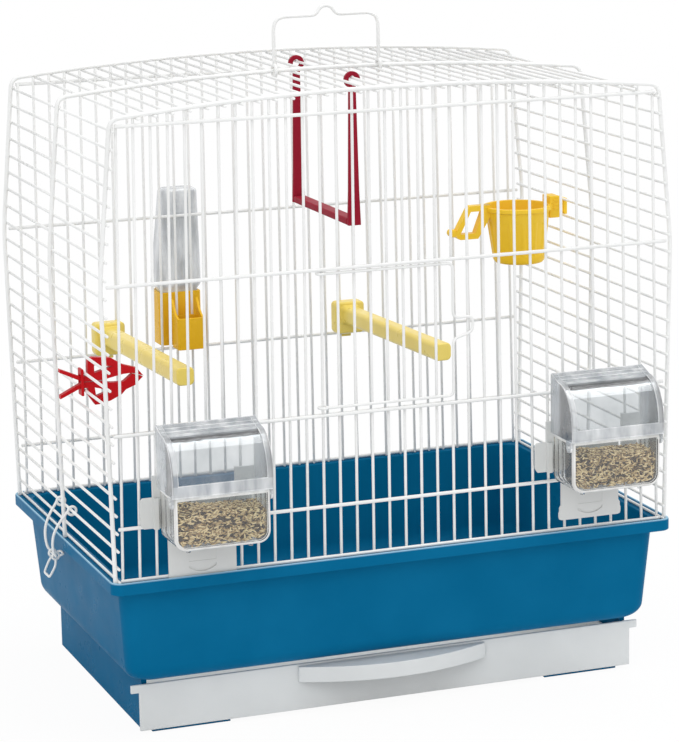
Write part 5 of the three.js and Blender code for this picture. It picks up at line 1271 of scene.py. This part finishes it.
def resampled(ring, count):
    """Points at even spaces along a closed ring."""
    line = [Vector(p) for p in ring] + [Vector(ring[0])]
    lengths = [0.0]
    for a, b in zip(line, line[1:]):
        lengths.append(lengths[-1] + (b - a).length)
    out, k = [], 0
    for i in range(count):
        want = lengths[-1] * i / count
        while lengths[k + 1] < want:
            k += 1
        share = (want - lengths[k]) / max(lengths[k + 1] - lengths[k], 1e-9)
        out.append(tuple(line[k].lerp(line[k + 1], share)))
    return out


def fluted_ring(half_x, half_y, radius, z, depth, leant):
    """A rounded rectangle with upright flutes in its broad faces, moved by its share of the lean."""
    x0, y0 = DRINKER_X + BOTTLE_LEAN * leant, DRINKER_Y - (BOTTLE_DEPTH - BOTTLE_TOP_DEPTH) / 2 * leant
    ring = []
    for x, y, _ in resampled(rounded_ring(half_x, half_y, radius, z), FLUTE_POINTS):
        wave = 0.5 - 0.5 * math.cos(2 * math.pi * x / FLUTE_PITCH)
        face = max(0.0, min(1.0, (half_x - radius + 1 - abs(x)) / 2))
        ring.append((x0 + x, y0 + y - math.copysign(depth * wave * face, y), z))
    return ring


def drinker_bottle():
    shoulder = DRINKER_TOP + BOTTLE_SHOULDER
    top = DRINKER_TOP + BOTTLE_RISE
    tall = top - BOTTLE_CROWN - shoulder

    def skin(inset, flute):
        """Rows of half width, half depth, corner, height, flute depth and share of the lean, upwards."""
        neck = (NECK_X - inset, NECK_Y - inset)
        wide = (BOTTLE_WIDTH / 2 - inset, BOTTLE_DEPTH / 2 - inset)
        end = (BOTTLE_TOP_WIDTH / 2 - inset, BOTTLE_TOP_DEPTH / 2 - inset)
        rows = [(*neck, DRINKER_ROUND - DRINKER_SKIN, z, 0, 0)
                for z in (BOTTLE_FOOT - 2 * inset, DRINKER_TOP + BOTTLE_NECK_RISE)]
        for share, up in BOTTLE_WIDENING:
            rows.append((neck[0] + (wide[0] - neck[0]) * share, neck[1] + (wide[1] - neck[1]) * share,
                         BOTTLE_ROUND - inset, shoulder + up, 0, 0))
        for i in range(1, BOTTLE_ROWS + 1):
            share = i / BOTTLE_ROWS
            rows.append((wide[0] + (BOTTLE_TOP_WIDTH - BOTTLE_WIDTH) / 2 * share,
                         wide[1] + (BOTTLE_TOP_DEPTH - BOTTLE_DEPTH) / 2 * share, BOTTLE_ROUND - inset,
                         shoulder + 1 + (tall - 1) * share, flute if i < BOTTLE_ROWS else 0, share))
        for i in range(1, CROWN_ROWS + 1):
            angle = i / CROWN_ROWS * math.pi / 2
            pull = (BOTTLE_CROWN - inset) * (1 - math.cos(angle))
            rows.append((end[0] - pull, end[1] - pull, BOTTLE_ROUND - inset - pull / 2,
                         top - BOTTLE_CROWN + (BOTTLE_CROWN - inset) * math.sin(angle), 0, 1))
        return facing_out(loft([fluted_ring(*row) for row in rows]))

    return cut(skin(0, FLUTE_DEPTH), skin(BOTTLE_SKIN, 0))


show("drinker_moulding", drinker_base(), AMBER, "cage", "drinker_base")
bottle = show("bottle_clear", drinker_bottle(), BOTTLE, "bottle", "drinker_bottle",
              sharp=35)
CROWN_FOOT = DRINKER_TOP + BOTTLE_RISE - BOTTLE_CROWN
SHOULDER_TOP = DRINKER_TOP + BOTTLE_SHOULDER + OVERRUN
frosted(bottle, lambda middle, normal: SHOULDER_FROST if not SHOULDER_TOP < middle.z < CROWN_FOOT else 0.0)


# Perches, swing, cup and clip

def perch(lanes):
    foot = SILL + CROSS_WIRE / 2 + 2 * SEAT
    lane = lanes * pitch_at(foot)
    x = lane + PERCH_SHIFT
    back = UPRIGHT_PLANE - FINE_WIRE / 2 - SEAT
    front = back - PERCH_BLOCK_DEPTH
    shape = rounded_ring(PERCH_BLOCK / 2, PERCH_BLOCK_HEIGHT / 2, PERCH_BLOCK_ROUND, 0, x,
                         foot + PERCH_BLOCK_HEIGHT / 2)
    body = softened(prism("y", [p[:2] for p in shape], front, back), PERCH_BLOCK_EDGE, 4)
    root, tip = foot + PERCH_ROOT_HEIGHT, front - PERCH_LENGTH
    # From inside the block to the cut tip: (place along Y, half width of the stick)
    profile = [(front - out, PERCH_HALF + more) for out, more in PERCH_FLARE]
    profile += [(tip + PERCH_TIP_ROUND, PERCH_HALF),
                (tip + PERCH_TIP_ROUND / 3, PERCH_HALF - PERCH_TIP_ROUND / 6),
                (tip, PERCH_HALF - PERCH_TIP_ROUND / 2)]
    rise = PERCH_RISE / (PERCH_LENGTH + PERCH_ROUND - PERCH_TIP_ROUND)
    rings = []
    for y, half in profile:
        z = root + min(PERCH_RISE, rise * (front + PERCH_ROUND - y))
        rings.append([(p[0], y, p[1]) for p in rounded_ring(half, half, PERCH_ROUND, 0, x, z)])
    hook_bottom = SILL + CROSS_WIRE / 2 + SEAT
    hook_out = CROSS_PLANE + CROSS_WIRE / 2 + SEAT
    sides = span(lane, PERCH_HOOK_WIDTH / 2)
    arm = block(*sides, back - WELD - OVERRUN, hook_out + PERCH_HOOK_THICKNESS, hook_bottom,
                hook_bottom + PERCH_HOOK_THICKNESS)
    tongue = block(*sides, hook_out, hook_out + PERCH_HOOK_THICKNESS,
                   hook_bottom - PERCH_HOOK_DROP, hook_bottom + WELD)
    return fused(body, facing_out(loft(rings)), softened(fused(arm, tongue), PERCH_HOOK_EDGE))


SWING_AXIS = arch_at(0) - LONG_INSET
SWING_BOTTOM = SWING_AXIS - SWING_DROP
BAR_MIDDLE = BAR_HEIGHT / 2 + SWING_BOTTOM
HOOK_CENTRE = SWING_AXIS + FINE_WIRE / 2 + SEAT - HOOK_INNER


def swing_strap(y, hand):
    """A strap with a hook that opens to one hand, and a blind mortise for the bar."""
    def arc(radius):
        angles = [-math.pi / 2 + i / HOOK_STEPS * HOOK_SWEEP * 2 * math.pi for i in range(HOOK_STEPS + 1)]
        return [(hand * radius * math.cos(a), HOOK_CENTRE + radius * math.sin(a)) for a in angles]

    y0, y1 = span(y, STRAP_THICKNESS / 2)
    hook = prism("y", arc(HOOK_INNER + HOOK_BAND) + list(reversed(arc(HOOK_INNER))), y0, y1)
    neck = HOOK_CENTRE - HOOK_INNER - HOOK_BAND / 2
    widening = STRAP_FOOT_HALF - STRAP_TOP_HALF
    edge = [(STRAP_TOP_HALF + wide * widening, neck - down * (neck - SWING_BOTTOM))
            for down, wide in FLARE_SHARES]
    leg = prism("y", edge + [(-x, z) for x, z in reversed(edge)], y0, y1)
    outward = math.copysign(1, y)
    inner = y - outward * STRAP_THICKNESS / 2
    mortise = block(*span(0, TENON_WIDTH / 2 + SEAT), inner - outward * OVERRUN,
                    inner + outward * MORTISE_DEPTH, *span(BAR_MIDDLE, TENON_HEIGHT / 2 + SEAT))
    return softened(cut(fused(hook, leg), mortise), STRAP_EDGE, 3)


def swing_bar():
    front, back = SWING_FRONT + STRAP_THICKNESS / 2 + SEAT, SWING_BACK - STRAP_THICKNESS / 2 - SEAT
    bar = block(*span(0, STRAP_FOOT_HALF), front, back, SWING_BOTTOM, SWING_BOTTOM + BAR_HEIGHT)
    reach = MORTISE_DEPTH - SEAT - STRAP_THICKNESS / 2
    tenon = block(*span(0, TENON_WIDTH / 2), SWING_FRONT - reach, SWING_BACK + reach,
                  *span(BAR_MIDDLE, TENON_HEIGHT / 2))
    return fused(softened(bar, BAR_EDGE, 4), softened(tenon, TENON_EDGE))


def cup_ring(radius, z, depth=0.0):
    """A level ring of the cup, with its upright ribs where it has a depth."""
    sides = CUP_RIB_SIDES * CUP_RIBS
    x = CUP_X + CUP_FOOT_SHIFT * min(1, max(0, CUP_TOP - z) / CUP_HEIGHT)
    points = []
    for i in range(sides):
        angle = 2 * math.pi * i / sides
        r = radius - depth + depth * max(0.0, math.cos(CUP_RIBS * angle)) ** 2
        points.append((x + r * math.cos(angle), CUP_Y + r * math.sin(angle), z))
    return points


def cup_foot(share, skin):
    """The cup's rounded foot, from its floor (0) to its wall (1), on the outside or inset by its skin."""
    angle = share * math.pi / 2
    return cup_ring(CUP_FOOT_RADIUS - skin - CUP_FOOT_ROUND / 2 * (1 - math.sin(angle)),
                    CUP_TOP - CUP_HEIGHT + skin + CUP_FOOT_ROUND * (1 - math.cos(angle)))


def cup_bowl():
    foot = CUP_TOP - CUP_HEIGHT
    slope = (CUP_RADIUS - CUP_FOOT_RADIUS) / (CUP_HEIGHT - CUP_FOOT_ROUND)
    start, end = foot + CUP_RIBS_START, CUP_TOP - CUP_RIBS_END
    steps = range(CUP_FOOT_STEPS + 1)
    rings = [cup_foot(i / CUP_FOOT_STEPS, 0) for i in steps]
    for z, depth in ((start, CUP_RIB_FAINT), (start + CUP_RIBS_FADE, CUP_RIB_DEPTH),
                     (end - CUP_RIBS_FADE, CUP_RIB_DEPTH), (end, CUP_RIB_FAINT),
                     (CUP_TOP - CUP_NECK_DROP, 0)):
        rings.append(cup_ring(CUP_FOOT_RADIUS + slope * (z - foot - CUP_FOOT_ROUND), z, depth))
    rings += [cup_ring(CUP_RADIUS + out, CUP_TOP + up) for out, up in CUP_RIM_EDGE]
    rings += [cup_foot(1 - i / CUP_FOOT_STEPS, CUP_SKIN) for i in steps]
    return facing_out(loft(rings))


def cup_clip():
    """The shoe inside the wires, the neck between two of them and the plate outside."""
    lane = round((CUP_TOP - SIDE_FIRST) / SIDE_PITCH)
    wire_below = SIDE_FIRST + (lane - 1) * SIDE_PITCH
    wire_x = hoop_half_at(wire_below) - LONG_INSET
    top = CUP_TOP + CUP_CLIP_ABOVE
    y0, y1 = span(CUP_Y, CUP_CLIP_WIDTH / 2)
    inside, outside = wire_x - FINE_WIRE / 2 - 2 * SEAT, wire_x + FINE_WIRE / 2 + 2 * SEAT
    shoe = block(CUP_X + CUP_RADIUS - CUP_SKIN / 2, inside, y0, y1, top - CUP_CLIP_HEIGHT, top)
    neck = block(inside - WELD, outside + WELD, y0 + CUP_NECK_INSET, y1 - CUP_NECK_INSET,
                 wire_below + FINE_WIRE / 2 + SEAT,
                 wire_below + SIDE_PITCH - FINE_WIRE / 2 - 2 * SEAT)
    foot = top - (CUP_CLIP_HEIGHT + CUP_CLIP_PLATE_HEIGHT) / 2
    plate = block(outside, outside + CUP_CLIP_PLATE, y0, y1, foot, foot + CUP_CLIP_PLATE_HEIGHT)
    ridges = [block(CUP_X + CUP_RADIUS + CUP_RIDGE_START, inside, y0 - CUP_RIDGE_OUT, y1 + CUP_RIDGE_OUT,
                    top - down, top - down + CUP_RIDGE_HEIGHT) for down in CUP_CLIP_RIDGES]
    return [softened(shoe, CUP_CLIP_EDGE, 3), softened(plate, CUP_PLATE_EDGE, 3), neck, *ridges]


def cup_loop():
    """The small perching loop at the cup's side, with a nub at its outer corner."""
    near, top = CUP_X - CUP_RADIUS, CUP_TOP + LOOP_BAND / 2
    far, low = near - LOOP_REACH, top - LOOP_DROP - LOOP_BAND
    outer = [(near + CUP_SKIN, top), (far + LOOP_SLANT, top), (far, top - LOOP_DROP),
             (far + LOOP_BAND / 2, low + LOOP_BAND / 4), (far + LOOP_BAND, low),
             (near - 2 * LOOP_BAND, low), (near + CUP_SKIN, top - 2 * LOOP_BAND)]
    gap = [(near - LOOP_BAND, top - LOOP_BAND), (far + LOOP_SLANT + LOOP_BAND / 4, top - LOOP_BAND),
           (far + LOOP_BAND, top - LOOP_DROP), (near - 2.5 * LOOP_BAND, top - LOOP_DROP)]
    y0, y1 = span(CUP_Y, LOOP_WIDTH / 2)
    stirrup = cut(prism("y", outer, y0, y1), prism("y", gap, y0 - OVERRUN, y1 + OVERRUN))
    nub = rod("y", LOOP_NUB, far - LOOP_NUB / 2, top - LOOP_DROP + LOOP_BAND / 4, y0, y1, 20)
    return [softened(stirrup, LOOP_EDGE, 3), softened(nub, LOOP_EDGE, 3)]


def treat_cup():
    foot = CUP_TOP - CUP_HEIGHT
    inner = loft([cup_ring(CUP_FOOT_RADIUS - CUP_FOOT_ROUND - CUP_SKIN, foot + CUP_SKIN + CUP_CLEAR_LIFT),
                  cup_ring(CUP_FOOT_RADIUS - CUP_SKIN, foot + CUP_FOOT_ROUND + CUP_SKIN),
                  cup_ring(CUP_RADIUS - CUP_SKIN, CUP_TOP + 4 * OVERRUN)])
    return fused(cup_bowl(), cut(fused(*cup_clip(), *cup_loop()), facing_out(inner)))


CLIP_Z = SIDE_FIRST + (CLIP_WIRES + 0.5) * SIDE_PITCH
CLIP_WIRE_X = -(hoop_half_at(CLIP_Z) - LONG_INSET)
CLIP_PLATE_IN = CLIP_WIRE_X - FINE_WIRE / 2 - SEAT
CLIP_PLATE_OUT = CLIP_PLATE_IN - CLIP_PLATE_THICKNESS


def clip_plate():
    def around(x0, x1, half_y, half_z):
        return block(x0, x1, *span(CLIP_Y, half_y), *span(CLIP_Z, half_z))

    plate = around(CLIP_PLATE_OUT, CLIP_PLATE_IN, CLIP_PLATE_WIDTH / 2, CLIP_PLATE_HEIGHT / 2)
    opening = around(CLIP_PLATE_OUT - OVERRUN, CLIP_PLATE_IN + OVERRUN, CLIP_BAND / 2 + CLIP_PLAY,
                     CLIP_NECK_HALF + CLIP_PLAY)
    return softened(cut(plate, opening), CLIP_PLATE_EDGE, 3)


def clip_jaw(s, jaw_shares, slot_shares):
    """Half of the greens clip: a jaw inside the wires, a neck through the plate and a prong outside."""
    root = CLIP_WIRE_X + FINE_WIRE / 2 + CLIP_INSIDE
    pivot, inner = (CLIP_PLATE_IN + CLIP_PLATE_OUT) / 2, CLIP_PLAY / 2
    y0, y1 = span(CLIP_Y, CLIP_BAND / 2)

    def place(shares):
        return [(root + along * CLIP_JAW_LENGTH, CLIP_Z + s * across * CLIP_JAW_HALF)
                for along, across in shares]

    def at(*points):
        return [(x, CLIP_Z + s * up) for x, up in points]

    jaw = at((root, inner)) + place(jaw_shares)
    neck = at((pivot, inner), (root + CLIP_PLAY, inner), (root + CLIP_PLAY, CLIP_NECK_HALF),
              (pivot, CLIP_NECK_HALF))
    tip = pivot - CLIP_PRONG_REACH
    prong = at((pivot + CLIP_PLAY, inner), (pivot + CLIP_PLAY, CLIP_NECK_HALF),
               (CLIP_PLATE_OUT - CLIP_PLAY, CLIP_NECK_HALF),
               (tip, CLIP_PRONG_SPREAD + CLIP_PRONG_THICKNESS / 2),
               (tip, CLIP_PRONG_SPREAD - CLIP_PRONG_THICKNESS / 2))
    slot = prism("y", place(slot_shares), y0 - OVERRUN, y1 + OVERRUN)
    shapes = [prism("y", outline, y0, y1) for outline in (jaw, neck, prong)]
    return softened(cut(fused(*shapes), slot), CLIP_JAW_EDGE, 3, 50)


for word, lanes in PERCH_LANES.items():
    show(f"perch_stick_{word}", perch(lanes), LEMON, "cage", f"perch_{word}")
for word, y, hand in (("front", SWING_FRONT, -1), ("back", SWING_BACK, 1)):
    show(f"strap_{word}", swing_strap(y, hand), DARK_RED, "swing",
         f"swing_strap_{word}")
show("swing_rod", swing_bar(), DARK_RED, "swing", "swing_bar")
show("cup_moulding", treat_cup(), YELLOW, "cage", "treat_cup")
show("clip_plate_red", clip_plate(), RED, "cage", "clip_plate")
for word, s, *shares in (("upper", 1, UPPER_JAW_SHARES, UPPER_SLOT_SHARES),
                         ("lower", -1, LOWER_JAW_SHARES, LOWER_SLOT_SHARES)):
    show(f"jaw_red_{word}", clip_jaw(s, *shares), RED, f"jaw_{word}", f"clip_jaw_{word}")


# Floor, light and camera

def floor_material():
    """Pale paint that turns to plain white towards the camera, further out, and keeps the cage's shadow."""
    n = Nodes(bpy.data.materials.new("pale_floor"))
    colour = n.ramp(n.noise(4, 2), (0.3, "f2f2f2"), (0.7, "f7f7f7"))
    paint = n.add("ShaderNodeBsdfPrincipled", {"Base Color": colour, "Roughness": 0.85,
                                               "Normal": n.bump(n.noise(300, 2), 0.1, 0.1)}).outputs[0]
    glow = n.add("ShaderNodeEmission", {"Color": WHITE_LIGHT, "Strength": 1.0}).outputs[0]
    away = n.add("ShaderNodeVectorMath", {0: n.place()}, operation="LENGTH").outputs["Value"]
    share = n.add("ShaderNodeMapRange", {"Value": away, "From Min": GLOW_NEAR, "From Max": GLOW_FAR,
                                         "To Min": GLOW_SHARE}, interpolation_type="SMOOTHSTEP").outputs[0]
    camera_ray = n.add("ShaderNodeLightPath").outputs["Is Camera Ray"]
    return n.finish(n.mix(n.math("MULTIPLY", camera_ray, share), paint, glow))


def stage_floor():
    turns = [2 * math.pi * i / FLOOR_SIDES for i in range(FLOOR_SIDES)]
    points, faces = loft([[(r * math.cos(a), r * math.sin(a), -FLOOR_DROP) for a in turns]
                          for r in FLOOR_RADII])
    placed("floor", (points, faces[:-1]), floor_material())


def studio_world():
    """Soft light on the surfaces, and plain white where the camera, a gloss or clear plastic sees it."""
    world = bpy.data.worlds.new("studio")
    bpy.context.scene.world = world
    n = Nodes(world)
    path = n.add("ShaderNodeLightPath").outputs
    seen = n.math("MAXIMUM", path["Is Camera Ray"], path["Is Glossy Ray"])
    seen = n.math("MAXIMUM", seen, path["Is Transmission Ray"])
    soft = n.add("ShaderNodeBackground", {"Color": SKY_TINT, "Strength": SKY_LIGHT}).outputs[0]
    white = n.add("ShaderNodeBackground", {"Color": WHITE_LIGHT, "Strength": 1}).outputs[0]
    n.finish(n.mix(seen, soft, white), "ShaderNodeOutputWorld")


def lamp(name, place, size, watts):
    data = bpy.data.lights.new(name, "AREA")
    data.shape, data.size, data.size_y = "RECTANGLE", *size
    data.energy = watts
    thing = bpy.data.objects.new(name, data)
    bpy.context.scene.collection.objects.link(thing)
    thing.location = place
    thing.rotation_euler = (Vector(LAMP_AIM) - Vector(place)).to_track_quat("-Z", "Y").to_euler()


def photo_camera():
    data = bpy.data.cameras.new("camera")
    data.sensor_width = SENSOR
    data.lens = SENSOR * FOCAL_PIXELS / PICTURE_HEIGHT
    data.clip_start, data.clip_end = CLIP_NEAR, CLIP_FAR
    camera = bpy.data.objects.new("camera", data)
    bpy.context.scene.collection.objects.link(camera)
    yaw, pitch, roll = (math.radians(a) for a in (CAMERA_YAW, CAMERA_PITCH, CAMERA_ROLL))
    forward = Vector((math.sin(yaw) * math.cos(pitch), math.cos(yaw) * math.cos(pitch), -math.sin(pitch)))
    right = Vector((math.cos(yaw), -math.sin(yaw), 0))
    up = right.cross(forward)
    side = right * math.cos(roll) + up * math.sin(roll)
    over = up * math.cos(roll) - right * math.sin(roll)
    turn = Matrix((side, over, -forward)).transposed().to_4x4()
    camera.matrix_world = Matrix.Translation(Vector(CAMERA_PLACE) * MM) @ turn
    bpy.context.scene.camera = camera


stage_floor()
studio_world()
for name, settings in LAMPS.items():
    lamp(name, *settings)
photo_camera()
bpy.context.scene.view_settings.view_transform = "Standard"
